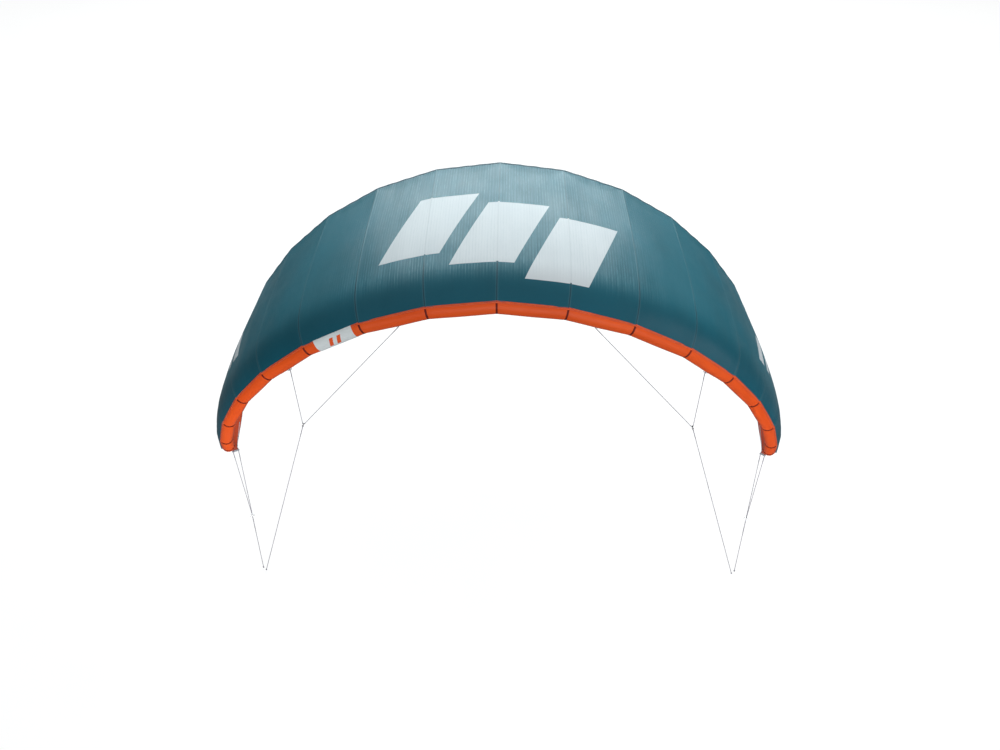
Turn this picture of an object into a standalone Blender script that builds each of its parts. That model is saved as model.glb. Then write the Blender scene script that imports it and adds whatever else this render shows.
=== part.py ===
# Inflatable leading-edge kitesurf kite: canopy panels, tube casings, bladders,
# struts, valves, inflation hoses with clips, and the four-point bridle.
#
# Modelled about the leading edge: X across the span, Y back to the trailing
# edge, Z up, metres. L is the -X half and R the +X half, as seen from in front
# of the kite. Half-kite points are worked out for +X and mirrored for -X.
# FRAME_SHIFT then moves everything so that the origin lies under the middle of
# the kite, level with the lowest line end.

import bpy
import bmesh
import math
from mathutils import Vector, Matrix

# ---------------------------------------------------------------- kite shape
SIDES = ((-1, "L"), (1, "R"))            # sign of X, name tag
FRAME_SHIFT = Vector((0.0, -0.86776, 3.063775))

# widths of a half kite's bays, from the middle to the wingtip
BAY_WIDTHS = (0.50, 0.50, 0.48, 0.45, 0.38, 0.38, 0.30, 0.14)
ARC_FIRST_DEG = 7.0                      # slope of the middle bay
ARC_STEP_DEG = 11.7                      # extra slope of each next bay
SWEEP_2, SWEEP_4 = 0.25, 0.20            # sweep y = a t^2 + b t^4, t the share of the half span
SEAM_GAP = 0.0005                        # each panel stops this far short of its seam

CHORD_MID, CHORD_TIP = 1.81, 0.50
TRAIL_DRIFT_1, TRAIL_DRIFT_2 = -0.035, 0.11   # inward drift of the trailing edge, share of chord
TIP_EDGE_DOWN_DEG, TIP_EDGE_IN_DEG = 44.0, -2.0
SEAM_DEG_MID, SEAM_DEG_ADD = 48.0, 4.0   # where the canopy meets the tube, from straight ahead
SEAM_LIFT = 0.0030
CAMBER, CAMBER_AT, CAMBER_NOSE = 0.058, 0.27, 3.5
CANOPY_WALL = 0.0005
RIB_SHARES = (0.0, 0.012, 0.035, 0.08, 0.15, 0.27, 0.42, 0.58, 0.75, 0.88, 1.0)
CANOPY_PANELS = ((0, 1), (1, 2), (2, 3), (3, 4), (4, 6), (6, 8))   # first and last rib

# ---------------------------------------------------------------- leading edge
TUBE_R_MID, TUBE_R_TIP, TUBE_TAPER = 0.0745, 0.050, 1.3
TUBE_WALL = 0.0010
TUBE_SIDES = 24
TUBE_OVERRUN = 0.03                      # casing length past its seam, before it is cut
TIP_CASING_FROM = 4                      # rib where the last casing begins
TIP_DOME = ((0.018, 0.93), (0.030, 0.70), (0.036, 0.36))   # beyond the end, share of radius
BLADDER_GAP = 0.0090
BLADDER_WALL = 0.00025
BLADDER_DOME = (0.010, 0.75)             # beyond the end, share of radius

# ---------------------------------------------------------------- struts, hoses, clips
STRUTS = (("centre", 0, 1), ("left", 2, -1), ("right", 2, 1))   # label, rib, sign of X
STRUT_R_FRONT, STRUT_R_REAR = 0.046, 0.028
STRUT_WALL = 0.0008
STRUT_START, STRUT_STOP = 0.004, 0.05    # behind the tube's back, ahead of the trailing edge
STRUT_STATIONS = 9
STRUT_TAIL = ((0.010, 0.85), (0.016, 0.45))   # beyond the last station, share of radius
STRUT_CLEAR = 0.0065                     # strut top below the smooth rib line
STRUT_NOSE_HEIGHT, STRUT_JOIN_Y = 0.030, 0.32
STRUT_BLADDER_GAP = 0.0045
STRUT_BLADDER_WALL = 0.00025

HOSE_R, HOSE_WALL = 0.0070, 0.0015
HOSE_LOW = 0.0205                        # hose run below the tube's underside
HOSE_EXIT_DEG = 50.0                     # where the hose leaves the tube, down from straight back
HOSE_REACH = 0.115                       # upright end behind the tube's back
HOSE_REAR_BEND = ((0.085, 0.0), (0.104, 0.006), (0.113, 0.018),
                  (HOSE_REACH, 0.034))   # behind the tube's back, above the low run
HOSE_END_GAP = 0.0025                    # hose end below the strut's underside
CLIP_Y = 0.0505                          # clip centre behind the tube's back
CLIP_PIN_X, CLIP_PIN_Z = -0.0155, -0.0010   # clip pin, sideways and up from the hose

# hinges of the clips and of the valve cap
PIN_R, PIN_BORE_R, KNUCKLE_R = 0.0015, 0.0020, 0.0032

# ---------------------------------------------------------------- valves
# Heights are measured out from the tube's axis. R inflates, L deflates.
VALVE_ALONG = 0.22                       # valve distance from the middle, along the tube
VALVE_BACK_DEG = 25.0                    # valve axis, back from straight down
VALVE_BORE_R = {"L": 0.0120, "R": 0.0070}
VALVE_FLANGE = {"L": (0.0240, 0.0656), "R": (0.0200, 0.0674)}        # radius, inner face
VALVE_RIM_HEIGHTS = {"L": (0.0830, 0.0870), "R": (0.0840, 0.0885)}   # inner and outer face
FLANGE_THICK = 0.0012
STEM_WALL = 0.0050                       # stem radius beyond the bore
RIM_WALL = 0.0070                        # rim radius beyond the bore
CASING_HOLE_PLAY = 0.0006                # casing hole radius beyond the stem
BLADDER_PORT_INSET = 0.0005              # bladder port radius inside the bore
CAP_GAP, CAP_THICK = 0.0006, 0.0030
CAP_HINGE_X, CAP_HINGE_Z = 0.0185, 0.0900   # off the valve axis, out from the tube axis

# ---------------------------------------------------------------- bridle
LINE_R = 0.00225
EYE_R = 0.0060                           # centre radius of a spliced eye
BAR_R = 0.0025                           # webbing loop and wingtip strap
BAR_HALF = 0.016
TAB_DROP = 0.022
TAB_TOP_GAP = 0.0016                     # loop ends' greatest gap to the tube surface
TAB_STEP = 0.0001                        # step by which loop ends climb to the tube
RING_R, RING_WIRE_R = 0.014, 0.0030
BEND_R = 0.0065                          # bend of a bridle line around a ring
KNOT_R, KNOT_LENGTH, KNOT_TAPER = 0.0060, 0.016, 0.005
TAB_INNER = (1, 0.55)                    # bay and share along it
TAB_OUTER = (3, 0.60)
GATHER = Vector((1.954, 0.300, -3.061))  # where a side's two line ends come together
END_APART = Vector((0.012, 0.012, 0.0))
FRONT_END, REAR_END = GATHER - END_APART, GATHER + END_APART
# apex of each V: x at y = 0 and per metre of y, then the same for z
FRONT_APEX_LINE = (1.463, 0.150, -1.163, -0.897)
REAR_APEX_LINE = (1.945, 0.200, -2.125, -0.990)
STRAP_FRONT = Vector((-0.031, 0.000, -0.066))       # from the tube end
STRAP_REAR = Vector((-0.014, -0.022, -0.010))       # from the canopy's rear corner
STRAP_TUBE_FOOT = Vector((-0.018, 0.0, -0.041))     # strap's end, from the tube end
STRAP_CORNER_FOOT = Vector((-0.004, 0.004, -0.006))   # strap's end, from the rear corner
STRAP_PAST_FRONT, STRAP_PAST_REAR = 0.026, 0.018    # straight run beyond the V's eyes
# names of V line, ring and line
FRONT_NAMES = ("front_bridle", "front_ring", "front_line")
REAR_NAMES = ("tip_bridle", "tip_ring", "rear_line")

# vertices closer than this are merged
CURVE_WELD, SOLID_WELD, WALL_WELD = 1e-5, 1e-6, 1e-7
SHARP_DEG = 35

# name: base colour, roughness, metallic
FINISHES = {
    "canopy": ((0.060, 0.170, 0.225), 0.45, 0.0),
    "dacron": ((0.640, 0.085, 0.020), 0.50, 0.0),
    "bladder": ((0.55, 0.58, 0.60), 0.35, 0.0),
    "hose": ((0.70, 0.72, 0.74), 0.30, 0.0),
    "black_plastic": ((0.02, 0.02, 0.022), 0.40, 0.0),
    "grey_plastic": ((0.10, 0.105, 0.11), 0.40, 0.0),
    "steel": ((0.60, 0.60, 0.62), 0.25, 1.0),
    "line": ((0.42, 0.42, 0.46), 0.70, 0.0),
    "webbing": ((0.03, 0.03, 0.035), 0.75, 0.0),
}

# ---------------------------------------------------------------- clean start
for old in list(bpy.data.objects):
    bpy.data.objects.remove(old, do_unlink=True)
for old in list(bpy.data.collections):
    bpy.data.collections.remove(old)

PARTS = bpy.data.collections.new("kitesurf_kite")
bpy.context.scene.collection.children.link(PARTS)

FRAME = bpy.data.objects.new("kite_frame", None)
FRAME.location = FRAME_SHIFT
PARTS.objects.link(FRAME)


# ---------------------------------------------------------------- object tools
def material(name, finish):
    rgb, roughness, metallic = FINISHES[finish]
    mat = bpy.data.materials.new(name)
    mat.use_nodes = True
    shader = mat.node_tree.nodes["Principled BSDF"]
    shader.inputs["Base Color"].default_value = (*rgb, 1.0)
    shader.inputs["Roughness"].default_value = roughness
    shader.inputs["Metallic"].default_value = metallic
    mat.diffuse_color = (*rgb, 1.0)
    return mat


def put(obj, pivot, finish):
    """Own material, origin at pivot (kite coordinates), child of the frame."""
    mesh = obj.data
    mesh.transform(Matrix.Translation(-pivot))
    obj.parent = FRAME
    obj.location = pivot
    mesh.materials.clear()
    mesh.materials.append(material(obj.name, finish))
    for poly in mesh.polygons:
        poly.use_smooth = True
    mesh.set_sharp_from_angle(angle=math.radians(SHARP_DEG))


def mesh_object(name, bm):
    mesh = bpy.data.meshes.new(name)
    bm.to_mesh(mesh)
    bm.free()
    obj = bpy.data.objects.new(name, mesh)
    PARTS.objects.link(obj)
    return obj


def bake(obj):
    """Replace a curve or modified object by its evaluated mesh."""
    bpy.context.view_layer.update()
    depsgraph = bpy.context.evaluated_depsgraph_get()
    mesh = bpy.data.meshes.new_from_object(obj.evaluated_get(depsgraph))
    name = obj.name
    bpy.data.objects.remove(obj, do_unlink=True)
    baked = bpy.data.objects.new(name, mesh)
    PARTS.objects.link(baked)
    mesh.name = name
    return baked


def weld(obj, distance):
    bm = bmesh.new()
    bm.from_mesh(obj.data)
    bmesh.ops.remove_doubles(bm, verts=bm.verts, dist=distance)
    bmesh.ops.recalc_face_normals(bm, faces=bm.faces)
    bm.to_mesh(obj.data)
    bm.free()
    return obj


def boolean(obj, other, operation):
    mod = obj.modifiers.new(operation.lower(), "BOOLEAN")
    mod.operation = operation
    mod.solver = "EXACT"
    mod.object = other
    obj = bake(obj)
    bpy.data.objects.remove(other, do_unlink=True)
    return weld(obj, SOLID_WELD)


def joined(name, pieces):
    obj = pieces[0]
    obj.name = name
    for other in pieces[1:]:
        obj = boolean(obj, other, "UNION")
    return obj


def thicken(obj, thickness, offset=-1.0):
    """Give a surface its wall; offset -1 grows inward, 0 both ways."""
    mod = obj.modifiers.new("wall", "SOLIDIFY")
    mod.thickness = thickness
    mod.offset = offset
    mod.use_even_offset = True
    return bake(obj)


def curve_tube(name, points, radii, sides, caps=True):
    """Round POLY curve with its own radius at each point, as a mesh."""
    data = bpy.data.curves.new(name, "CURVE")
    data.dimensions = "3D"
    data.twist_mode = "MINIMUM"
    data.bevel_depth = 1.0
    data.bevel_resolution = (sides - 4) // 2
    data.use_fill_caps = caps
    data.resolution_u = 1
    data.render_resolution_u = 0
    spline = data.splines.new("POLY")
    spline.points.add(len(points) - 1)
    for spline_point, point, radius in zip(spline.points, points, radii):
        spline_point.co = (*point, 1.0)
        spline_point.radius = radius
    obj = bpy.data.objects.new(name, data)
    PARTS.objects.link(obj)
    obj = bake(obj)
    return weld(obj, CURVE_WELD) if caps else obj


def subdivided(points, steps=12):
    fine = []
    for start, end in zip(points[:-1], points[1:]):
        fine += [start.lerp(end, i / steps) for i in range(steps)]
    return fine + [points[-1]]


def face_outward(bm, path):
    """Turn an open tube's faces away from its path."""
    score = 0.0
    for face in bm.faces:
        centre = face.calc_center_median()
        near = min(path, key=lambda point: (point - centre).length_squared)
        score += face.normal.dot(centre - near) * face.calc_area()
    if score < 0:
        bmesh.ops.reverse_faces(bm, faces=bm.faces)


def open_tube(name, points, radii, sides, close_ends=(), cuts=()):
    """Thin tube surface; close_ends lists end points to cap; cuts are planes
    (point, normal pointing to the side that is removed)."""
    obj = curve_tube(name, points, radii, sides, caps=False)
    bm = bmesh.new()
    bm.from_mesh(obj.data)
    bmesh.ops.remove_doubles(bm, verts=bm.verts, dist=SOLID_WELD)
    for point, normal in cuts:
        bmesh.ops.bisect_plane(bm, geom=bm.verts[:] + bm.edges[:] + bm.faces[:], dist=1e-7,
                               plane_co=point, plane_no=normal, clear_outer=True)
    for end in close_ends:
        rim = [edge for edge in bm.edges if edge.is_boundary]
        rim.sort(key=lambda edge: ((edge.verts[0].co + edge.verts[1].co) / 2 - end).length)
        bmesh.ops.edgeloop_fill(bm, edges=rim[:sides])
    bmesh.ops.recalc_face_normals(bm, faces=bm.faces)
    bm.normal_update()
    face_outward(bm, subdivided(points))
    bm.to_mesh(obj.data)
    bm.free()
    return obj


def box(low, high):
    low, high = Vector(low), Vector(high)
    bm = bmesh.new()
    bmesh.ops.create_cube(bm, size=1.0)
    bmesh.ops.scale(bm, vec=high - low, verts=bm.verts)
    bmesh.ops.translate(bm, vec=(low + high) / 2, verts=bm.verts)
    return mesh_object("box", bm)


def aligned(centre, axis):
    """Matrix that takes local Z to the axis and the origin to the centre."""
    turn = axis.to_track_quat("Z", "Y").to_matrix().to_4x4()
    return Matrix.Translation(centre) @ turn


def cylinder(start, end, radius, sides):
    start, end = Vector(start), Vector(end)
    bm = bmesh.new()
    bmesh.ops.create_cone(bm, cap_ends=True, segments=sides, radius1=radius,
                          radius2=radius, depth=(end - start).length)
    bmesh.ops.transform(bm, matrix=aligned((start + end) / 2, end - start), verts=bm.verts)
    return mesh_object("cylinder", bm)


def z_cylinder(bottom, top, radius, sides):
    return cylinder((0, 0, bottom), (0, 0, top), radius, sides)


def y_cylinder(x, z, half_length, radius, sides):
    return cylinder((x, -half_length, z), (x, half_length, z), radius, sides)


def torus(name, centre, axis, major, minor, segments=12, wire_sides=6):
    bpy.ops.mesh.primitive_torus_add(major_segments=segments, minor_segments=wire_sides,
                                     major_radius=major, minor_radius=minor,
                                     location=(0, 0, 0))
    obj = bpy.context.object
    obj.name = name
    for coll in list(obj.users_collection):
        coll.objects.unlink(obj)
    PARTS.objects.link(obj)
    obj.data.transform(aligned(centre, axis))
    return obj


def turned(name, profile, sides=24):
    """Closed ring profile (radius, height) turned about Z."""
    bm = bmesh.new()
    verts = [bm.verts.new((radius, 0.0, z)) for radius, z in profile]
    for i, vert in enumerate(verts):
        bm.edges.new((vert, verts[(i + 1) % len(verts)]))
    obj = mesh_object(name, bm)
    mod = obj.modifiers.new("turn", "SCREW")
    mod.steps = sides
    mod.render_steps = sides
    mod.angle = 2 * math.pi
    mod.use_merge_vertices = True
    mod.merge_threshold = 1e-5
    mod.use_normal_calculate = True
    return weld(bake(obj), SOLID_WELD)


def place(obj, frame):
    obj.data.transform(frame)
    return obj


def axes_frame(origin, x, y, z):
    frame = Matrix((x, y, z)).transposed().to_4x4()
    frame.translation = origin
    return frame


def flip(vector, side):
    return Vector((vector[0] * side, vector[1], vector[2]))


def flip_all(vectors, side):
    return [flip(vector, side) for vector in vectors]


# ---------------------------------------------------------------- kite lines
# Lists with one value per rib, from the middle rib to the wingtip of the +X half.
BAYS = len(BAY_WIDTHS)
SPAN_SHARE = [sum(BAY_WIDTHS[:i]) / sum(BAY_WIDTHS) for i in range(BAYS + 1)]
TUBE_R = [TUBE_R_MID + (TUBE_R_TIP - TUBE_R_MID) * share ** TUBE_TAPER for share in SPAN_SHARE]
CHORD = [CHORD_TIP + (CHORD_MID - CHORD_TIP) * math.sqrt(max(0.0, 1 - share * share))
         for share in SPAN_SHARE]
BAY_SLOPE = [math.radians(ARC_FIRST_DEG + ARC_STEP_DEG * i) for i in range(BAYS)]
RIB_TILT = ([0.0] + [(BAY_SLOPE[i - 1] + BAY_SLOPE[i]) / 2 for i in range(1, BAYS)]
            + [BAY_SLOPE[-1] + (BAY_SLOPE[-1] - BAY_SLOPE[-2]) / 2])
RIB_UP = [Vector((math.sin(tilt), 0, math.cos(tilt))) for tilt in RIB_TILT]
RIB_OUT = [Vector((math.cos(tilt), 0, -math.sin(tilt))) for tilt in RIB_TILT]


def tube_axis():
    sweep = [SWEEP_2 * share ** 2 + SWEEP_4 * share ** 4 for share in SPAN_SHARE]
    points = [Vector((0, 0, 0))]
    for i, (width, slope) in enumerate(zip(BAY_WIDTHS, BAY_SLOPE)):
        back = sweep[i + 1] - sweep[i]
        level = math.sqrt(width ** 2 - back ** 2)
        step = Vector((level * math.cos(slope), back, -level * math.sin(slope)))
        points.append(points[-1] + step)
    return points


AXIS = tube_axis()
BAY_DIR = [(AXIS[i + 1] - AXIS[i]).normalized() for i in range(BAYS)]


def trailing_edge():
    points = []
    for i in range(BAYS):
        drift = TRAIL_DRIFT_1 * SPAN_SHARE[i] + TRAIL_DRIFT_2 * SPAN_SHARE[i] ** 2
        points.append(AXIS[i] + Vector((0, CHORD[i], 0)) - RIB_OUT[i] * (drift * CHORD[i]))
    down, inward = math.radians(TIP_EDGE_DOWN_DEG), math.radians(TIP_EDGE_IN_DEG)
    tip_edge = Vector((-math.sin(inward) * math.cos(down),
                       math.cos(inward) * math.cos(down), -math.sin(down)))
    return points + [AXIS[BAYS] + CHORD_TIP * tip_edge]


def canopy_seam():
    points = []
    for i, share in enumerate(SPAN_SHARE):
        angle = math.radians(SEAM_DEG_MID + SEAM_DEG_ADD * share)
        radial = Vector((0, -math.cos(angle), 0)) + RIB_UP[i] * math.sin(angle)
        points.append(AXIS[i] + (TUBE_R[i] + SEAM_LIFT) * radial)
    return points


TRAIL = trailing_edge()
SEAM = canopy_seam()


def camber(share):
    """Height of the rib curve, as a share of its highest point."""
    if share < CAMBER_AT:
        return 1.0 - (1.0 - share / CAMBER_AT) ** CAMBER_NOSE
    warped = share ** (math.log(0.5) / math.log(CAMBER_AT))
    return 4.0 * warped * (1.0 - warped)


def rib_point(rib, share):
    line = TRAIL[rib] - SEAM[rib]
    return SEAM[rib] + line * share + RIB_UP[rib] * (CAMBER * line.length * camber(share))


# ---------------------------------------------------------------- canopy
def panel_row(rib, neighbour):
    """Points along a rib, drawn back from the seam towards a neighbouring rib."""
    row = []
    for share in RIB_SHARES:
        point = rib_point(rib, share)
        if neighbour is not None:
            point = point + (rib_point(neighbour, share) - point).normalized() * SEAM_GAP
        row.append(point)
    return row


def canopy_panel(name, first, last, side):
    bm = bmesh.new()
    rows = []
    for rib in range(first, last + 1):
        neighbour = None
        if rib == first:
            neighbour = rib + 1
        elif rib == last and last < BAYS:
            neighbour = rib - 1
        rows.append([bm.verts.new(flip(point, side)) for point in panel_row(rib, neighbour)])
    for row, next_row in zip(rows[:-1], rows[1:]):
        for j in range(len(RIB_SHARES) - 1):
            bm.faces.new((row[j], row[j + 1], next_row[j + 1], next_row[j]))
    obj = weld(thicken(mesh_object(name, bm), CANOPY_WALL, offset=0.0), WALL_WELD)
    put(obj, flip(rib_point(first, 0.5), side), "canopy")


# ---------------------------------------------------------------- leading edge
def valve_frame(side):
    """Origin on the tube's axis, X outward along the tube, Z out through the valve."""
    along = flip(BAY_DIR[0], side)
    back = (Vector((0, 1, 0)) - along * along.y).normalized()
    up = (Vector((0, 0, 1)) - along * along.z - back * back.z).normalized()
    angle = math.radians(VALVE_BACK_DEG)
    axis = back * math.sin(angle) - up * math.cos(angle)
    return axes_frame(along * VALVE_ALONG, along, axis.cross(along), axis)


def seam_cut(rib, side, removed):
    """Cut plane beside a casing seam; removed is 1 to take off the tip side, -1 the other."""
    normal = Vector((1, 0, 0)) if rib == 0 else (BAY_DIR[rib - 1] + BAY_DIR[rib]).normalized()
    normal = flip(normal, side) * removed
    return flip(AXIS[rib], side) - normal * SEAM_GAP, normal


def tube_casing(bay, side, tag):
    overrun = BAY_DIR[bay] * TUBE_OVERRUN
    growth = (TUBE_R[bay + 1] - TUBE_R[bay]) / BAY_WIDTHS[bay] * TUBE_OVERRUN
    obj = open_tube("leading_edge_%d_%s" % (bay + 1, tag),
                    flip_all((AXIS[bay] - overrun, AXIS[bay + 1] + overrun), side),
                    [TUBE_R[bay] - growth, TUBE_R[bay + 1] + growth], TUBE_SIDES,
                    cuts=(seam_cut(bay, side, -1), seam_cut(bay + 1, side, 1)))
    obj = weld(thicken(obj, TUBE_WALL), WALL_WELD)
    if bay == 0:
        hole_r = VALVE_BORE_R[tag] + STEM_WALL + CASING_HOLE_PLAY
        hole = place(z_cylinder(0.055, 0.095, hole_r, 20), valve_frame(side))
        obj = boolean(obj, hole, "DIFFERENCE")
    put(obj, flip((AXIS[bay] + AXIS[bay + 1]) / 2, side), "dacron")


def tip_casing(side, tag):
    """Last casing, over the outer bays, with the rounded end."""
    first = TIP_CASING_FROM
    points = [AXIS[first] - BAY_DIR[first] * TUBE_OVERRUN] + AXIS[first + 1:]
    radii = TUBE_R[first:]
    for beyond, share in TIP_DOME:
        points.append(AXIS[BAYS] + BAY_DIR[-1] * beyond)
        radii.append(TUBE_R[BAYS] * share)
    points = flip_all(points, side)
    obj = open_tube("leading_edge_%d_%s" % (first + 1, tag), points, radii, TUBE_SIDES,
                    close_ends=(points[-1],), cuts=(seam_cut(first, side, -1),))
    obj = weld(thicken(obj, TUBE_WALL), WALL_WELD)
    put(obj, flip(AXIS[(first + BAYS) // 2], side), "dacron")


def tube_bladder():
    """Air bladder along the whole tube, open only at its two valves."""
    beyond, share = BLADDER_DOME
    points = AXIS + [AXIS[BAYS] + BAY_DIR[-1] * beyond]
    radii = [radius - BLADDER_GAP for radius in TUBE_R]
    radii.append(radii[-1] * share)
    points = flip_all(points[:0:-1], -1) + points
    radii = radii[:0:-1] + radii
    obj = open_tube("leading_edge_bladder", points, radii, 16,
                    close_ends=(points[0], points[-1]))
    # no weld here: it would turn the sealed inner skin's normals outward
    obj = thicken(obj, BLADDER_WALL)
    for side, tag in reversed(SIDES):
        port = z_cylinder(0.040, 0.080, VALVE_BORE_R[tag] - BLADDER_PORT_INSET, 16)
        obj = boolean(obj, place(port, valve_frame(side)), "DIFFERENCE")
    put(obj, Vector((0, 0, 0)), "bladder")


# ---------------------------------------------------------------- struts
def strut_radius(rib, y):
    share = (y - TUBE_R[rib]) / (CHORD[rib] - TUBE_R[rib])
    return STRUT_R_FRONT + (STRUT_R_REAR - STRUT_R_FRONT) * share


def strut_centre(rib, y):
    """Centre line of the strut under a rib, y behind the tube's axis."""
    share = (AXIS[rib].y + y - SEAM[rib].y) / (TRAIL[rib].y - SEAM[rib].y)
    top = rib_point(rib, share) - AXIS[rib]
    height = top.dot(RIB_UP[rib]) - strut_radius(rib, y) - STRUT_CLEAR
    if y < STRUT_JOIN_Y:
        blend = (y - TUBE_R[rib]) / (STRUT_JOIN_Y - TUBE_R[rib])
        blend = max(0.0, min(1.0, blend))
        blend = blend * blend * (3 - 2 * blend)
        height = STRUT_NOSE_HEIGHT * (1 - blend) + height * blend
    return (AXIS[rib] + Vector((0, y, 0)) + RIB_UP[rib] * height
            + RIB_OUT[rib] * top.dot(RIB_OUT[rib]))


def strut_stations(rib):
    """Distances behind the tube's axis, wider apart towards the rear."""
    start, stop = TUBE_R[rib] + STRUT_START, CHORD[rib] - STRUT_STOP
    shares = [i / (STRUT_STATIONS - 1) for i in range(STRUT_STATIONS)]
    return [start + (stop - start) * (0.55 * share + 0.45 * share * share) for share in shares]


def strut(label, rib, side):
    stations = strut_stations(rib)
    points = [flip(strut_centre(rib, y), side) for y in stations]
    radii = [strut_radius(rib, y) for y in stations]
    end, end_radius = points[-1], radii[-1]
    tail = (end - points[-2]).normalized()
    for beyond, share in STRUT_TAIL:
        points.append(end + tail * beyond)
        radii.append(end_radius * share)
    obj = open_tube("strut_" + label, points, radii, 16, close_ends=(points[-1],))
    put(weld(thicken(obj, STRUT_WALL), WALL_WELD), points[0], "dacron")


def strut_bladder(label, rib, side):
    stations = strut_stations(rib)
    points = [flip(strut_centre(rib, y), side) for y in stations]
    radii = [strut_radius(rib, y) - STRUT_BLADDER_GAP for y in stations]
    points[0] = points[0].lerp(points[1], 0.08)
    points[-1] = points[-2].lerp(points[-1], 0.80)
    obj = open_tube("strut_bladder_" + label, points, radii, 10, close_ends=(points[-1],))
    put(weld(thicken(obj, STRUT_BLADDER_WALL), WALL_WELD), points[0], "bladder")


def inflation_hose(label, rib, side):
    """Hose from the tube's underside to the strut's underside."""
    tube_r = TUBE_R[rib]
    angle = math.radians(HOSE_EXIT_DEG)
    back, down = math.cos(angle), math.sin(angle)
    low = -(tube_r + HOSE_LOW)
    end_y = tube_r + HOSE_REACH
    strut_low = (strut_centre(rib, end_y) - AXIS[rib]).dot(RIB_UP[rib]) - strut_radius(rib, end_y)
    # distance behind the tube's axis, height above it
    path = [((tube_r + off) * back, -(tube_r + off) * down) for off in (0.002, 0.022)]
    path += [((tube_r + 0.031) * back + 0.004, low + 0.004), (tube_r + 0.020, low)]
    path += [(tube_r + behind, low + above) for behind, above in HOSE_REAR_BEND]
    path.append((end_y, strut_low - HOSE_END_GAP))
    points = [flip(AXIS[rib] + Vector((0, y, 0)) + RIB_UP[rib] * height, side)
              for y, height in path]
    obj = open_tube("inflation_hose_" + label, points, [HOSE_R] * len(points), 10)
    put(weld(thicken(obj, HOSE_WALL), WALL_WELD), points[0], "hose")


def clip_frame(rib, side):
    """Origin on the hose's low run, Y back along it, Z up towards the rib."""
    up, back = flip(RIB_UP[rib], side), Vector((0, 1, 0))
    origin = (flip(AXIS[rib], side) + back * (TUBE_R[rib] + CLIP_Y)
              - up * (TUBE_R[rib] + HOSE_LOW))
    return axes_frame(origin, back.cross(up), back, up)


def clip_base(label, frame):
    """Plate under the hose, and two posts that carry the pin."""
    base = joined("hose_clip_base_" + label, [
        box((-0.018, -0.008, -0.0126), (0.013, 0.008, -0.0076)),
        box((-0.018, 0.005, -0.0120), (-0.013, 0.008, 0.0025)),
        box((-0.018, -0.008, -0.0120), (-0.013, -0.005, 0.0025)),
        y_cylinder(CLIP_PIN_X, CLIP_PIN_Z, 0.0065, PIN_R, 12)])
    put(place(base, frame), frame @ Vector((0, 0, -0.010)), "black_plastic")


def clip_jaw(label, frame):
    """Knuckle on the pin, riser, plate over the hose, and lip down its far side."""
    jaw = joined("hose_clip_jaw_" + label, [
        y_cylinder(CLIP_PIN_X, CLIP_PIN_Z, 0.0046, KNUCKLE_R, 16),
        box((-0.0175, -0.0044, 0.0015), (-0.0135, 0.0044, 0.0106)),
        box((-0.0173, -0.0045, 0.0078), (0.0130, 0.0045, 0.0108)),
        box((0.0102, -0.0043, -0.0065), (0.0128, 0.0043, 0.0090))])
    bore = y_cylinder(CLIP_PIN_X, CLIP_PIN_Z, 0.01, PIN_BORE_R, 12)
    jaw = boolean(jaw, bore, "DIFFERENCE")
    put(place(jaw, frame), frame @ Vector((CLIP_PIN_X, 0, CLIP_PIN_Z)), "grey_plastic")


# ---------------------------------------------------------------- valves
def valve_body(name, tag):
    """Hollow stem with a flange at its inner end and a rim at its outer end."""
    bore = VALVE_BORE_R[tag]
    stem, rim = bore + STEM_WALL, bore + RIM_WALL
    flange, flange_in = VALVE_FLANGE[tag]
    flange_out = flange_in + FLANGE_THICK
    rim_in, rim_out = VALVE_RIM_HEIGHTS[tag]
    return turned(name, ((bore, flange_in), (flange, flange_in), (flange, flange_out),
                         (stem, flange_out), (stem, rim_in), (rim, rim_in),
                         (rim, rim_out), (bore, rim_out)))


def inflate_valve(frame):
    """Body with a bracket and two lugs that carry the cap's pin, and the hinged cap."""
    rim_out = VALVE_RIM_HEIGHTS["R"][1]
    body = joined("inflate_valve", [
        valve_body("inflate_valve", "R"),
        box((0.0108, -0.0070, 0.0822), (0.0190, 0.0070, 0.0860)),
        box((0.0155, 0.0041, 0.0826), (0.0215, 0.0069, 0.0925)),
        box((0.0155, -0.0069, 0.0826), (0.0215, -0.0041, 0.0925)),
        y_cylinder(CAP_HINGE_X, CAP_HINGE_Z, 0.0055, PIN_R, 12)])
    put(place(body, frame), frame @ Vector((0, 0, rim_out)), "black_plastic")

    cap_in = rim_out + CAP_GAP
    cap = joined("inflate_valve_cap", [
        z_cylinder(cap_in, cap_in + CAP_THICK, VALVE_BORE_R["R"] + RIM_WALL, 24),
        z_cylinder(0.0845, 0.0900, 0.0055, 16),
        box((0.0100, -0.0033, 0.0892), (0.0162, 0.0033, 0.0920)),
        y_cylinder(CAP_HINGE_X, CAP_HINGE_Z, 0.0034, KNUCKLE_R, 16)])
    bore = y_cylinder(CAP_HINGE_X, CAP_HINGE_Z, 0.01, PIN_BORE_R, 12)
    cap = boolean(cap, bore, "DIFFERENCE")
    put(place(cap, frame), frame @ Vector((CAP_HINGE_X, 0, CAP_HINGE_Z)), "grey_plastic")


def deflate_valve(frame):
    """Body, and a plug with a straight bar across its outer face."""
    rim_out = VALVE_RIM_HEIGHTS["L"][1]
    body = place(valve_body("deflate_valve", "L"), frame)
    put(body, frame @ Vector((0, 0, rim_out)), "black_plastic")

    plug_in = rim_out + CAP_GAP
    plug = joined("deflate_valve_plug", [
        z_cylinder(plug_in, plug_in + CAP_THICK, 0.0182, 24),
        z_cylinder(0.0780, 0.0890, 0.0113, 20),
        box((-0.0100, -0.0016, 0.0896), (0.0100, 0.0016, 0.0985))])
    put(place(plug, frame), frame @ Vector((0, 0, plug_in)), "grey_plastic")


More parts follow.
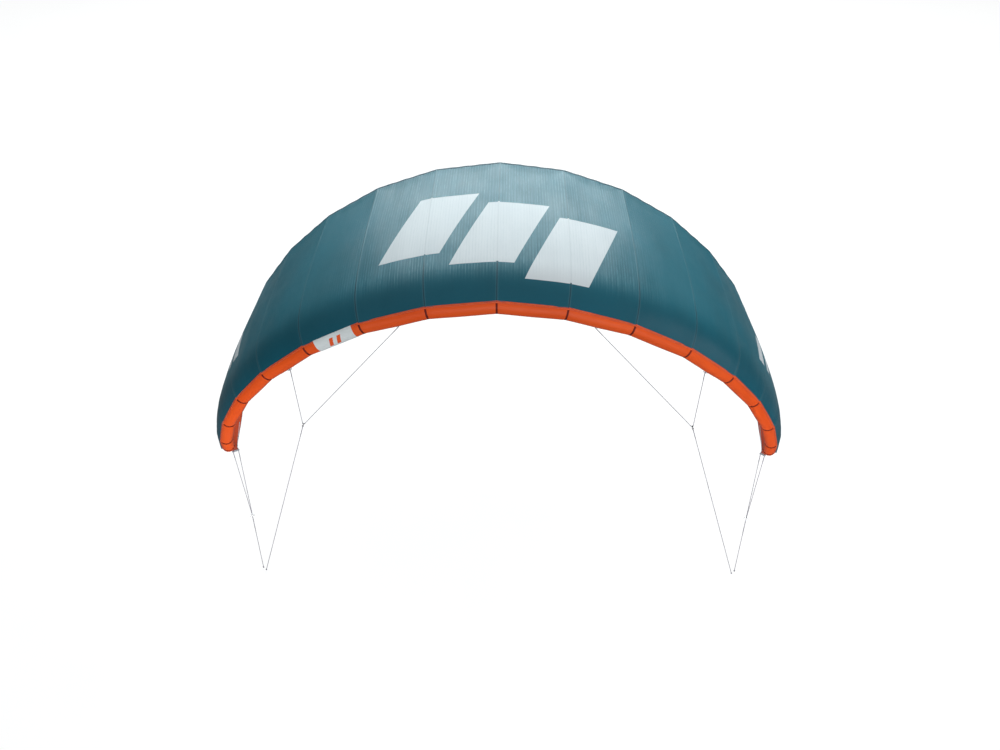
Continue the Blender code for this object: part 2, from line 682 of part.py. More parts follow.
# ---------------------------------------------------------------- bridle
def tube_gap(point):
    """Least distance from a point to the leading edge's surface."""
    gaps = []
    for i in range(BAYS):
        offset = point - AXIS[i]
        share = max(0.0, min(1.0, offset.dot(BAY_DIR[i]) / BAY_WIDTHS[i]))
        radius = TUBE_R[i] + (TUBE_R[i + 1] - TUBE_R[i]) * share
        gaps.append((offset - BAY_DIR[i] * (share * BAY_WIDTHS[i])).length - radius)
    return min(gaps)


def coplanar_apex(inner, outer, end, line):
    """Point of the apex line in the plane of the V's two eyes and its line end."""
    x_start, x_slope, z_start, z_slope = line
    normal = (outer - inner).cross(end - inner)
    start, slope = Vector((x_start, 0, z_start)), Vector((x_slope, 1, z_slope))
    return start + slope * (normal.dot(inner - start) / normal.dot(slope))


def hang_direction(bar, eye, apex):
    """From an eye towards the apex, square to the bar."""
    pull = apex - eye
    return (pull - bar * pull.dot(bar)).normalized()


def ring_bend(first, second, apex, down, across):
    """Arc round the ring at the apex, tangent to the lines from both eyes."""
    centre = apex - down * BEND_R
    lowest = math.pi / 2

    def touch_angle(point, sign):
        x, y = (point - centre).dot(across), (point - centre).dot(down)
        base, half = math.atan2(y, x), math.acos(BEND_R / math.hypot(x, y))
        angle = max(base + half, base - half, key=lambda candidate: sign * math.cos(candidate))
        return lowest + math.remainder(angle - lowest, 2 * math.pi)

    sign = 1 if (first - centre).dot(across) > (second - centre).dot(across) else -1
    start, stop = touch_angle(first, sign), touch_angle(second, -sign)
    angles = [start + (lowest - start) * i / 3 for i in range(3)]
    angles += [lowest + (stop - lowest) * i / 3 for i in range(3)]
    angles.append(stop)
    return [centre + across * (BEND_R * math.cos(angle)) + down * (BEND_R * math.sin(angle))
            for angle in angles]


def eye_ring(centre, axis, side):
    return torus("eye", flip(centre, side), flip(axis, side), EYE_R, LINE_R)


def bridle_vee(name, eyes, bend, bar, hang, side):
    """Line from one eye round the ring and up to the other."""
    points = [eyes[0] + hang * EYE_R] + bend + [eyes[1] + hang * EYE_R]
    vee = curve_tube(name, flip_all(points, side), [LINE_R] * len(points), 6)
    vee = joined(name, [vee] + [eye_ring(eye, bar, side) for eye in eyes])
    put(vee, flip(eyes[0], side), "line")


def bridle_line(name, low, end, down, axis, side):
    """Line from its eye on the ring down to its end knot."""
    knot = end - down * KNOT_LENGTH
    points = [low + down * EYE_R, knot - down * KNOT_TAPER, knot, end - down * 0.001, end]
    line = curve_tube(name, flip_all(points, side),
                      [LINE_R, LINE_R, KNOT_R, KNOT_R, KNOT_R * 0.98], 8)
    line = joined(name, [line, eye_ring(low, axis, side)])
    put(line, flip(low, side), "line")


def bridle(names, eyes, apex, end, side, tag):
    """V line between two eyes, ring at the apex, line to its end."""
    vee_name, ring_name, line_name = [name + "_" + tag for name in names]
    bar = (eyes[1] - eyes[0]).normalized()
    down = (end - apex).normalized()
    across = (bar - down * bar.dot(down)).normalized()
    bend = ring_bend(*eyes, apex, down, across)
    bridle_vee(vee_name, eyes, bend, bar, hang_direction(bar, eyes[0], apex), side)
    middle = apex - down * BEND_R + down * RING_R
    ring = torus(ring_name, flip(middle, side), flip(across, side), RING_R, RING_WIRE_R,
                 segments=16, wire_sides=8)
    put(ring, flip(apex, side), "steel")
    bridle_line(line_name, middle + down * RING_R, end, down, across.cross(down), side)


def webbing(name, points, pivot, side):
    obj = curve_tube(name, flip_all(points, side), [BAR_R] * len(points), 8)
    put(obj, flip(pivot, side), "webbing")


def bridle_tab(name, centre, bar, hang, side):
    """Loop whose legs reach up from its bar to the tube."""
    feet = [centre - bar * BAR_HALF, centre + bar * BAR_HALF]
    tops = []
    for foot in feet:
        height = 0.0
        while tube_gap(foot - hang * height) > TAB_TOP_GAP:
            height += TAB_STEP
        tops.append(foot - hang * height)
    webbing(name, [tops[0], *feet, tops[1]], centre, side)


def front_bridle():
    """Front Vs with their two loops, whose bars lie along the line between them."""
    roots = []
    drops = []
    for bay, share in (TAB_INNER, TAB_OUTER):
        roots.append(AXIS[bay].lerp(AXIS[bay + 1], share))
        drops.append(TUBE_R[bay] + (TUBE_R[bay + 1] - TUBE_R[bay]) * share + TAB_DROP)
    eyes = roots
    # eyes, apex and hang direction depend on each other, so they are settled by repetition
    for _ in range(8):
        apex = coplanar_apex(*eyes, FRONT_END, FRONT_APEX_LINE)
        bar = (eyes[1] - eyes[0]).normalized()
        hang = hang_direction(bar, eyes[0], apex)
        eyes = [root + hang * drop for root, drop in zip(roots, drops)]
    for side, tag in SIDES:
        bridle(FRONT_NAMES, eyes, apex, FRONT_END, side, tag)
        for place_name, eye in zip(("inner", "outer"), eyes):
            bridle_tab("bridle_tab_%s_%s" % (place_name, tag), eye, bar, hang, side)


def tip_bridle():
    """Straps from the tube's ends to the canopy's rear corners, and the tip Vs on them."""
    eyes = [AXIS[BAYS] + STRAP_FRONT, TRAIL[BAYS] + STRAP_REAR]
    bar = (eyes[1] - eyes[0]).normalized()
    apex = coplanar_apex(*eyes, REAR_END, REAR_APEX_LINE)
    strap = [AXIS[BAYS] + STRAP_TUBE_FOOT, eyes[0] - bar * STRAP_PAST_FRONT,
             eyes[1] + bar * STRAP_PAST_REAR, TRAIL[BAYS] + STRAP_CORNER_FOOT]
    for side, tag in SIDES:
        bridle(REAR_NAMES, eyes, apex, REAR_END, side, tag)
        webbing("wingtip_strap_" + tag, strap, eyes[0], side)


# ---------------------------------------------------------------- build
for side, tag in SIDES:
    for i, (first, last) in enumerate(CANOPY_PANELS):
        canopy_panel("canopy_panel_%d_%s" % (i + 1, tag), first, last, side)
    for bay in range(TIP_CASING_FROM):
        tube_casing(bay, side, tag)
    tip_casing(side, tag)
tube_bladder()

for label, rib, side in STRUTS:
    strut(label, rib, side)
    strut_bladder(label, rib, side)
    inflation_hose(label, rib, side)
    clip_base(label, clip_frame(rib, side))
    clip_jaw(label, clip_frame(rib, side))

inflate_valve(valve_frame(1))
deflate_valve(valve_frame(-1))
front_bridle()
tip_bridle()

bpy.context.view_layer.update()
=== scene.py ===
"""Inflatable leading-edge kite: canopy, air tubes, seams, bridle, hoses and valves.

Kite coordinates: X runs across the span, Y back to the trailing edge, Z up. The middle of
the leading-edge tube's axis is at zero, and the -X half (left) mirrors the +X half.
place() moves kite coordinates into the scene. Lengths are in metres.
"""
import math
from collections import namedtuple
from functools import reduce

import bmesh
import bpy
import numpy as np
from mathutils import Matrix, Vector


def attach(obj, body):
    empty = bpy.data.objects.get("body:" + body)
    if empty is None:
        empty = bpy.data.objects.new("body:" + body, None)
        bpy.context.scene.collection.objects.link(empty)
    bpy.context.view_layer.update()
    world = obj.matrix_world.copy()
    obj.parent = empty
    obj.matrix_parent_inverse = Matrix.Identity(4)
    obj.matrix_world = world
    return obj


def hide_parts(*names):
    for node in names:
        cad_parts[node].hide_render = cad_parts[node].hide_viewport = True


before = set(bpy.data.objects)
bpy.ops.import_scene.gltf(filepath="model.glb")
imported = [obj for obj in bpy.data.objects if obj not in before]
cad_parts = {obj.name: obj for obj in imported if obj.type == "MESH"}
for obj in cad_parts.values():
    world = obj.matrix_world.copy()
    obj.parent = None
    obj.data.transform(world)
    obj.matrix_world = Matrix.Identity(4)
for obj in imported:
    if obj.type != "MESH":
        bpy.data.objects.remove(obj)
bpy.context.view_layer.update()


# ------------------------------------------------------------------ small tools
def vec(*values):
    return np.array(values, float)


X_AXIS, Y_AXIS, Z_AXIS = np.eye(3)


def unit(vectors):
    vectors = np.asarray(vectors, float)
    return vectors / np.maximum(np.linalg.norm(vectors, axis=-1, keepdims=True), 1e-12)


def smooth(start, end, x):
    """Smooth step from 0 at start to 1 at end."""
    t = np.clip((x - start) / (end - start), 0, 1)
    return t * t * (3 - 2 * t)


def run_length(path):
    """Distance along the path at each of its points."""
    return np.concatenate([[0], np.cumsum(np.linalg.norm(np.diff(path, axis=0), axis=1))])


def circle(count):
    return np.linspace(0, 2 * math.pi, count, endpoint=False)


def symmetric(half):
    """Station coordinates of the + side, joined to their mirror images."""
    half = np.array(half)
    return np.concatenate([-half[:0:-1], half])


def spline(points, steps):
    """Catmull-Rom curve through the points, with this many steps for each span."""
    points = np.asarray(points, float)
    knots = np.concatenate([[2 * points[0] - points[1]], points, [2 * points[-1] - points[-2]]])
    curve = []
    for i in range(1, len(knots) - 2):
        before, start, end, after = knots[i - 1:i + 3]
        for j in range(steps):
            t = j / steps
            curve.append(0.5 * (2 * start + (end - before) * t
                                + (2 * before - 5 * start + 4 * end - after) * t * t
                                + (-before + 3 * start - 3 * end + after) * t ** 3))
    curve.append(points[-1])
    return np.array(curve)


# ------------------------------------------------------------------ plan of the kite
# Nine stations, 0 in the middle to 8 at the tip, bound the eight bays of each half.
# A "station coordinate" runs from -8 to 8 and may fall between stations.
ORIGIN = vec(0.0, -0.86776, 3.063775)
SIDES = ((-1, "L"), (1, "R"))
BAY_WIDTHS = np.array((0.50, 0.50, 0.48, 0.45, 0.38, 0.38, 0.30, 0.14))
BAYS = len(BAY_WIDTHS)
FULL_BAY = 0.5
TIP_CHORD = 0.50
ROOT_TUBE_R, TIP_TUBE_R = 0.0745, 0.050
SEAM_LIFT = 0.003           # canopy seam above the tube
CAMBER_HEIGHT = 0.058       # share of the chord
CAMBER_PEAK = 0.27          # share of the chord where the camber is highest
BILLOW = 0.030              # rise of the cloth in a bay, share of its width

SPAN = np.concatenate([[0.0], np.cumsum(BAY_WIDTHS)])
SPAN_SHARE = SPAN / SPAN[-1]
BAY_SLOPE = np.radians(7.0 + 11.7 * np.arange(BAYS))


def lead_points():
    """Stations on the axis of the leading-edge tube."""
    sweep = 0.25 * SPAN_SHARE ** 2 + 0.20 * SPAN_SHARE ** 4
    points = [vec(0, 0, 0)]
    for width, slope, back in zip(BAY_WIDTHS, BAY_SLOPE, np.diff(sweep)):
        run = math.sqrt(width ** 2 - back ** 2)
        points.append(points[-1] + vec(run * math.cos(slope), back, -run * math.sin(slope)))
    return np.array(points)


def trail_points():
    """Stations on the trailing edge; the last hangs down from the tip."""
    drift = -0.035 * SPAN_SHARE + 0.11 * SPAN_SHARE ** 2
    points = LEAD + Y_AXIS * CHORD[:, None] - OUT * (drift * CHORD)[:, None]
    drop, swing = math.radians(44.0), math.radians(-2.0)
    points[-1] = LEAD[-1] + TIP_CHORD * vec(-math.sin(swing) * math.cos(drop),
                                            math.cos(swing) * math.cos(drop), -math.sin(drop))
    return points


LEAD = lead_points()
BAY_DIR = unit(LEAD[1:] - LEAD[:-1])
TILT = np.concatenate([[0.0], (BAY_SLOPE[:-1] + BAY_SLOPE[1:]) / 2,
                       [BAY_SLOPE[-1] + (BAY_SLOPE[-1] - BAY_SLOPE[-2]) / 2]])
UP = np.stack([np.sin(TILT), 0 * TILT, np.cos(TILT)], 1)
OUT = np.stack([np.cos(TILT), 0 * TILT, -np.sin(TILT)], 1)
TUBE_R = ROOT_TUBE_R + (TIP_TUBE_R - ROOT_TUBE_R) * SPAN_SHARE ** 1.3
CHORD = TIP_CHORD + 1.31 * np.sqrt(np.maximum(0, 1 - SPAN_SHARE ** 2))
TRAIL = trail_points()
# the canopy leaves the tube along this line
SEAM_ANGLE = np.radians(48.0 + 4.0 * SPAN_SHARE)
SEAM = LEAD + (TUBE_R + SEAM_LIFT)[:, None] * (UP * np.sin(SEAM_ANGLE)[:, None]
                                               - Y_AXIS * np.cos(SEAM_ANGLE)[:, None])
RIB_CHORD = TRAIL - SEAM
RIB_LENGTH = np.linalg.norm(RIB_CHORD, axis=1)


def place(points, side):
    """Move points of the + side into the scene, mirrored for side -1."""
    return np.asarray(points) * vec(side, 1, 1) + ORIGIN


def mirror(directions, side):
    return directions * vec(side, 1, 1)


def bay_at(station):
    """Bay and the share of the way across it at a station coordinate."""
    distance = np.clip(np.abs(station), 0, BAYS)
    bay = np.minimum(np.floor(distance + 1e-9).astype(int), BAYS - 1)
    return bay, distance - bay


def interpolate(values, station):
    """A value listed by station, at a station coordinate."""
    bay, across = bay_at(station)
    return values[bay] + (values[bay + 1] - values[bay]) * across


def offset_station(station, offset):
    """Station coordinate this far towards +X from a whole station."""
    number = abs(station)
    outwards = offset * (1.0 if station >= 0 else -1.0) > 0 or number == 0
    width = BAY_WIDTHS[min(number, BAYS - 1) if outwards else number - 1]
    return np.clip(station + offset / width, -BAYS, BAYS)


def bay_steps(pitch, least):
    """Even steps in every bay, about a pitch apart, without the last station."""
    return [s for bay, width in enumerate(BAY_WIDTHS)
            for s in bay + np.linspace(0, 1, max(least, int(width / pitch)), endpoint=False)]


# ------------------------------------------------------------------ canopy surface
def camber(share):
    """Height of the rib over its chord line, 1 at the peak."""
    share = np.clip(share, 0.0, 1.0)
    rear = np.power(np.maximum(share, 1e-9), math.log(0.5) / math.log(CAMBER_PEAK))
    nose = 1 - np.power(1 - np.minimum(share, CAMBER_PEAK) / CAMBER_PEAK, 3.5)
    return np.where(share < CAMBER_PEAK, nose, 4 * rear * (1 - rear))


def rib(station, share):
    """Rib curve of a whole station at a share of its chord, + side."""
    share = np.asarray(share, float)
    height = CAMBER_HEIGHT * RIB_LENGTH[station] * camber(share)
    return SEAM[station] + RIB_CHORD[station] * share[..., None] + UP[station] * height[..., None]


def sheet(station, share):
    """Scene point of the canopy at a station coordinate and a share of the chord."""
    station, share = np.broadcast_arrays(np.asarray(station, float), np.asarray(share, float))
    side = np.where(station < 0, -1.0, 1.0)
    bay, across = bay_at(station)
    distance = bay + across
    width = BAY_WIDTHS[bay]

    def ruled(at_share):
        inner, outer = rib(bay, at_share), rib(bay + 1, at_share)
        return inner + (outer - inner) * across[..., None]

    step = 1e-3
    chordwise = ruled(np.clip(share + step, 0, 1)) - ruled(np.clip(share - step, 0, 1))
    normal = unit(np.cross(rib(bay + 1, share) - rib(bay, share), chordwise))
    swell = 1 - np.power(1 - np.clip(share / 0.13, 0, 1), 2)
    arch = 4 * across * (1 - across)
    bulge = BILLOW * width * arch * swell * (1 - 0.93 * smooth(0.45, 1.0, share))
    bulge = bulge * (1 - 0.35 * smooth(5.0, 6.5, distance))

    # soft tension folds: back from the tube, slanting in mid-chord, and at the trailing edge
    back = share * RIB_LENGTH[bay]
    span = SPAN[bay] + across * width
    turn = 2 * math.pi
    fold = (0.0010 * (1 - np.exp(-back / 0.06)) * np.exp(-back / 0.16)
            * np.sin(turn * span / 0.083 + 0.7 * side))
    fold += (0.0009 * np.exp(-((back - 0.42) / 0.35) ** 2)
             * np.sin(turn * (span / 0.21 + 0.35 * back) + 1.1 * side))
    fold += (0.0016 * smooth(0.86, 1.0, share) * np.sin(turn * span / 0.125 + 0.4)
             * np.clip(arch, 0, 1))
    fold *= np.clip(2 * arch, 0, 1)

    # the free edge of the tip curls in a little
    curl = (0.045 * smooth(6.1, 7.25, distance)
            * np.sin(math.pi / 2 * np.clip((BAYS - distance) / 0.75, 0, 1))
            * smooth(0.08, 0.92, share))
    up = UP[bay] * (1 - across)[..., None] + UP[bay + 1] * across[..., None]
    point = ruled(share) + normal * (bulge + fold)[..., None] - up * curl[..., None]
    point[..., 0] *= side
    return point + ORIGIN


def sheet_normal(station, share):
    """Outward normal of the canopy, averaged over a seam."""
    station, share = np.broadcast_arrays(np.asarray(station, float), np.asarray(share, float))
    span_step, chord_step = 0.015, 0.004
    spanwise = (sheet(np.clip(station + span_step, -BAYS, BAYS), share)
                - sheet(np.clip(station - span_step, -BAYS, BAYS), share))
    chordwise = (sheet(station, np.clip(share + chord_step, 0, 1))
                 - sheet(station, np.clip(share - chord_step, 0, 1)))
    return unit(np.cross(spanwise, chordwise))


# ------------------------------------------------------------------ tube surface
def bay_axes(bay):
    """Along, ahead and up directions of a tube segment; bay -1 mirrors bay 0."""
    along = BAY_DIR[bay] if bay >= 0 else BAY_DIR[0] * vec(1, -1, -1)
    ahead = unit(along * along[1] - Y_AXIS)
    up = Z_AXIS - along * along[2]
    return along, ahead, unit(up - ahead * np.dot(up, ahead))


def tube_ring(station, angle):
    """Tube outline in the mitre plane of a whole station, and its radial directions."""
    if station == 0:
        mitre = X_AXIS
    elif station == BAYS:
        mitre = BAY_DIR[-1]
    else:
        mitre = unit(BAY_DIR[station - 1] + BAY_DIR[station])
    points, radials = [], []
    for bay in (station - 1, station):
        if bay >= BAYS:
            continue
        along, ahead, up = bay_axes(bay)
        radial = np.cos(angle)[..., None] * ahead + np.sin(angle)[..., None] * up
        offset = TUBE_R[station] * radial
        slide = -(offset @ mitre) / np.dot(along, mitre)
        points.append(LEAD[station] + offset + slide[..., None] * along)
        radials.append(radial)
    return sum(points) / len(points), unit(sum(radials))


def tube(station, angle, height=0.0):
    """Scene point on the leading-edge tube; angle 0 is ahead, 90 degrees up."""
    station, angle, height = np.broadcast_arrays(
        np.asarray(station, float), np.asarray(angle, float), np.asarray(height, float))
    points = np.zeros(station.shape + (3,))
    bays, across = bay_at(station)
    for bay in range(BAYS):
        here = bays == bay
        if not here.any():
            continue
        share = across[here][..., None]
        inner, inner_radial = tube_ring(bay, angle[here])
        outer, outer_radial = tube_ring(bay + 1, angle[here])
        radial = unit(inner_radial + (outer_radial - inner_radial) * share)
        points[here] = inner + (outer - inner) * share + radial * height[here][..., None]
    points[..., 0] *= np.where(station < 0, -1.0, 1.0)
    return points + ORIGIN


def tube_normal(station, angle):
    return unit(tube(station, angle, 0.01) - tube(station, angle, 0.0))


def tube_grid(station, angle, height):
    """Points and normals on the tube."""
    return tube(station, angle, height), tube_normal(station, angle)


def puff(station, angle):
    """Height of the inflated cloth over the plain tube: pinched at seams, swollen between."""
    station, angle = np.broadcast_arrays(np.asarray(station, float), np.asarray(angle, float))
    nearest = np.round(np.abs(station))
    bay, across = bay_at(station)
    gap = np.minimum(across, 1 - across) * BAY_WIDTHS[bay]
    pinch = -0.0026 * np.exp(-(gap / 0.011) ** 2)
    swell = 0.0016 * np.sin(np.pi * across) ** 2
    # gathers on the underside of each bend, where the cloth is longer than its seam
    under = np.clip(-np.sin(angle), 0, 1) ** 0.7
    gather = (0.0016 * np.where(nearest >= 1, 1.0, 0.5) * under
              * np.exp(-((gap - 0.012) / 0.022) ** 2)
              * np.sin(13 * angle + 2.1 * nearest) * np.clip(gap / 0.006, 0, 1))
    ripple = 0.0006 * np.exp(-gap / 0.035) * np.sin(21 * angle + 1.3 * nearest)
    return pinch + swell + gather + ripple


def tube_band(station, angle, offsets, hollows=True):
    """Band along the tube: its offsets round the tube are in metres from the angle."""
    radius = interpolate(TUBE_R, station)
    angles = np.reshape(angle, (-1, 1)) + np.array(offsets)[None, :] / radius[:, None]
    height = puff(station[:, None], angles)
    if not hollows:
        height = np.maximum(0.0, height)
    return tube_grid(station[:, None], angles, height)


# ------------------------------------------------------------------ mesh tools
def face_out_by_shell(mesh):
    """Turn every closed shell of the mesh outwards."""
    edit = bmesh.new()
    edit.from_mesh(mesh)
    bmesh.ops.recalc_face_normals(edit, faces=edit.faces[:])
    edit.to_mesh(mesh)
    edit.free()


def face_out_by_volume(mesh):
    """Turn all faces round if the volume of the mesh is negative."""
    verts = np.empty(len(mesh.vertices) * 3)
    mesh.vertices.foreach_get("co", verts)
    verts = verts.reshape(-1, 3)
    mesh.calc_loop_triangles()
    corners = np.empty(len(mesh.loop_triangles) * 3, np.int32)
    mesh.loop_triangles.foreach_get("vertices", corners)
    first, second, third = (verts[corners.reshape(-1, 3)] - verts.mean(0)).transpose(1, 0, 2)
    if np.einsum("ij,ij->i", first, np.cross(second, third)).sum() < 0:
        mesh.flip_normals()


def add_mesh(name, verts, faces, uvs, slot, material, replaces=(), body="kite",
             face_out=face_out_by_volume, sharp_angle=40):
    """Add a mesh object; uvs holds one (u, v) in metres for each face corner."""
    mesh = bpy.data.meshes.new(name)
    mesh.from_pydata([tuple(map(float, v)) for v in verts], [], faces)
    layer = mesh.uv_layers.new(name="metres")
    layer.data.foreach_set("uv", np.asarray(uvs, np.float32).ravel())
    mesh.update()
    mesh.validate()
    for polygon in mesh.polygons:
        polygon.use_smooth = True
    if sharp_angle is not None:
        mesh.set_sharp_from_angle(angle=math.radians(sharp_angle))
    ob = bpy.data.objects.new(name, mesh)
    bpy.context.scene.collection.objects.link(ob)
    mesh.materials.append(material)
    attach(ob, body)
    if face_out:
        face_out(mesh)
    if replaces:
        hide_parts(*replaces)
    return ob


# order of a quad's corners as (row step, column step)
COLUMN_FIRST = ((0, 0), (0, 1), (1, 1), (1, 0))
ROW_FIRST = ((0, 0), (1, 0), (1, 1), (0, 1))


def quad_grid(rows, cols, corner_uv, corners=COLUMN_FIRST, wrap_rows=False, wrap_cols=True):
    """Quads over a grid of points; corner_uv(i, j, di, dj) gives the UV of each corner."""
    faces, uvs = [], []
    for i in range(rows if wrap_rows else rows - 1):
        for j in range(cols if wrap_cols else cols - 1):
            faces.append(tuple((i + di) % rows * cols + (j + dj) % cols for di, dj in corners))
            uvs += [corner_uv(i, j, di, dj) for di, dj in corners]
    return faces, uvs


def fan_caps(rows, cols, start_tip, end_tip, end_u=0.0):
    """Triangles that close both ends of a grid of rings with tip vertices."""
    faces, uvs = [], []
    last = (rows - 1) * cols
    for j in range(cols):
        j2 = (j + 1) % cols
        faces += [(last + j, last + j2, end_tip), (j2, j, start_tip)]
        uvs += [(u, v) for u in (end_u, 0) for v in (0, 0.01, 0.02)]
    return faces, uvs


class Part:
    """Collects several closed shapes into one mesh."""

    def __init__(self):
        self.verts, self.faces, self.uvs, self.count = [], [], [], 0

    def add(self, verts, faces, uvs):
        self.verts.append(np.asarray(verts, float).reshape(-1, 3))
        self.faces += [tuple(i + self.count for i in face) for face in faces]
        self.uvs += uvs
        self.count += len(self.verts[-1])

    def slab(self, points, normals, low, high, uv=None, wrap=False):
        """Closed sheet over a grid of points, between two heights along the normals.
        The heights may vary by column. wrap joins the last row to the first."""
        rows, cols = points.shape[:2]
        low, high = (np.broadcast_to(np.asarray(h, float), (rows, cols))[..., None]
                     for h in (low, high))
        if uv is None:
            width = run_length(points[rows // 2])
            uv = np.stack(np.meshgrid(run_length(points[:, cols // 2]),
                                      width - width[-1] / 2, indexing="ij"), -1)
        count = rows * cols
        verts = np.concatenate([(points + normals * high).reshape(-1, 3),
                                (points + normals * low).reshape(-1, 3)])
        faces = []

        def side_wall(start, end):
            faces.append((start, end, count + end, count + start))

        for i in range(rows if wrap else rows - 1):
            row, following = i * cols, (i + 1) % rows * cols
            for j in range(cols - 1):
                quad = (row + j, row + j + 1, following + j + 1, following + j)
                faces.append((quad[0], quad[3], quad[2], quad[1]))
                faces.append(tuple(count + corner for corner in quad))
            faces.append((row, count + row, count + following, following))
            side_wall(row + cols - 1, following + cols - 1)
        if not wrap:
            last = (rows - 1) * cols
            for j in range(cols - 1):
                side_wall(j, j + 1)
                side_wall(last + j + 1, last + j)
        flat_uv = [tuple(pair) for pair in np.reshape(uv, (-1, 2))]
        self.add(verts, faces, [flat_uv[i % count] for face in faces for i in face])

    def capped_rings(self, rings, length, across_uv):
        """Skin over rings, closed by flat ends; across_uv(i, j, dj) is the UV round a ring."""
        rings = np.array(rings)
        rows, sides = rings.shape[:2]
        faces, uvs = quad_grid(
            rows, sides, lambda i, j, di, dj: (length[i + di], across_uv(i, j, dj)))
        last = (rows - 1) * sides
        faces += [tuple(reversed(range(sides))), tuple(range(last, last + sides))]
        uvs += [(0, 0)] * sides + [(length[-1], 0)] * sides
        self.add(rings, faces, uvs)

    def pipe(self, path, radius, sides=12):
        """Round bar along the path, with one radius or one for each point."""
        path = np.asarray(path, float)
        radius = np.broadcast_to(np.asarray(radius, float), (len(path),))
        tangents = unit(np.gradient(path, axis=0))
        start = X_AXIS if abs(tangents[0][2]) > 0.95 else Z_AXIS
        first = unit(start - tangents[0] * np.dot(start, tangents[0]))
        angles = circle(sides)
        rings = []
        for point, r, tangent in zip(path, radius, tangents):
            first = unit(first - tangent * np.dot(first, tangent))
            second = np.cross(tangent, first)
            rings.append(point + r * (np.cos(angles)[:, None] * first
                                      + np.sin(angles)[:, None] * second))
        self.capped_rings(rings, run_length(path),
                          lambda i, j, dj: (j + dj) / sides * 2 * math.pi * radius[i])

    def strap(self, path, half_width, half_thick, width_dir, sides=16):
        """Webbing along a path; width_dir is the direction of its width."""
        path = np.asarray(path, float)
        tangents = unit(np.gradient(path, axis=0))
        half_width = np.broadcast_to(np.asarray(half_width, float), (len(path),))
        half_thick = np.broadcast_to(np.asarray(half_thick, float), (len(path),))
        width_dir = np.broadcast_to(np.asarray(width_dir, float), path.shape)
        cosines, sines = np.cos(circle(sides)), np.sin(circle(sides))
        # a superellipse: a flat band with rounded edges
        across, through = (np.sign(v) * np.abs(v) ** 0.55 for v in (cosines, sines))
        rings = []
        for i, tangent in enumerate(tangents):
            wide = unit(width_dir[i] - tangent * float(width_dir[i] @ tangent))
            thick = np.cross(tangent, wide)
            rings.append(path[i] + half_width[i] * across[:, None] * wide
                         + half_thick[i] * through[:, None] * thick)
        self.capped_rings(rings, run_length(path),
                          lambda i, j, dj: half_width[i] * cosines[(j + dj) % sides])

    def ring(self, centre, axis, major, minor, segments=40, sides=12):
        """Torus."""
        axis = unit(axis)
        start = X_AXIS if abs(axis[0]) < 0.8 else Y_AXIS
        first = unit(start - axis * np.dot(start, axis))
        around, section = circle(segments), circle(sides)
        radial = (np.cos(around)[:, None] * first
                  + np.sin(around)[:, None] * np.cross(axis, first))
        verts = (np.asarray(centre) + radial[:, None] * (major + minor * np.cos(section))[:, None]
                 + axis * (minor * np.sin(section))[:, None])
        self.add(verts, *quad_grid(
            segments, sides, lambda i, j, di, dj: ((i + di) / segments * 2 * math.pi * major,
                                                   (j + dj) / sides * 2 * math.pi * minor),
            ROW_FIRST, wrap_rows=True))

    def done(self, name, slot, material, **options):
        return add_mesh(name, np.concatenate(self.verts), self.faces, self.uvs,
                        slot, material, **options)


# ------------------------------------------------------------------ shader tools
class Value:
    """A shader output. Arithmetic on it makes Math nodes."""

    def __init__(self, shader, socket):
        self.shader, self.socket = shader, socket

    def math(self, operation, *inputs):
        return self.shader.node("ShaderNodeMath", 0, inputs, operation=operation)

    def __add__(self, other):
        return self.math("ADD", self, other)

    def __sub__(self, other):
        return self.math("SUBTRACT", self, other)

    def __rsub__(self, other):
        return self.math("SUBTRACT", other, self)

    def __mul__(self, other):
        return self.math("MULTIPLY", self, other)

    def __mod__(self, other):
        return self.math("MODULO", self, other)

    def __abs__(self):
        return self.math("ABSOLUTE", self)

    def max(self, other):
        return self.math("MAXIMUM", self, other)

    def min(self, other):
        return self.math("MINIMUM", self, other)

    def ramp(self, span, to, kind="LINEAR"):
        """Map the span linearly to two new values."""
        return self.shader.node("ShaderNodeMapRange", 0, (self, *span, *to),
                                interpolation_type=kind)

    def ease(self, span, to):
        """Map the span to two new values along a smooth step."""
        return self.ramp(span, to, "SMOOTHSTEP")

    def stripes(self, period, width, soft):
        """1 on lines of this width, one each period; soft is a share of the width."""
        phase = (self + period * 0.5 + period * 1000.0) % period
        half = width * 0.5
        return abs(phase - period * 0.5).ease((half * (1 - soft), half * (1 + soft)), (1.0, 0.0))

    def band(self, low, high, soft):
        """1 between low and high."""
        return (self.ease((low - soft, low + soft), (0.0, 1.0))
                * self.ease((high - soft, high + soft), (1.0, 0.0)))

    def noise(self, scale=1.0, detail=2.0, rough=0.5, distortion=0.0, stretch=None):
        """Noise at this vector, which stretch scales first along X and Y."""
        vector = self
        if stretch:
            vector = self.shader.node("ShaderNodeMapping", 0, {
                "Vector": self, "Scale": (*stretch, 1.0)})
        return self.shader.node("ShaderNodeTexNoise", 0, {
            "Vector": vector, "Scale": scale, "Detail": detail, "Roughness": rough,
            "Distortion": distortion})


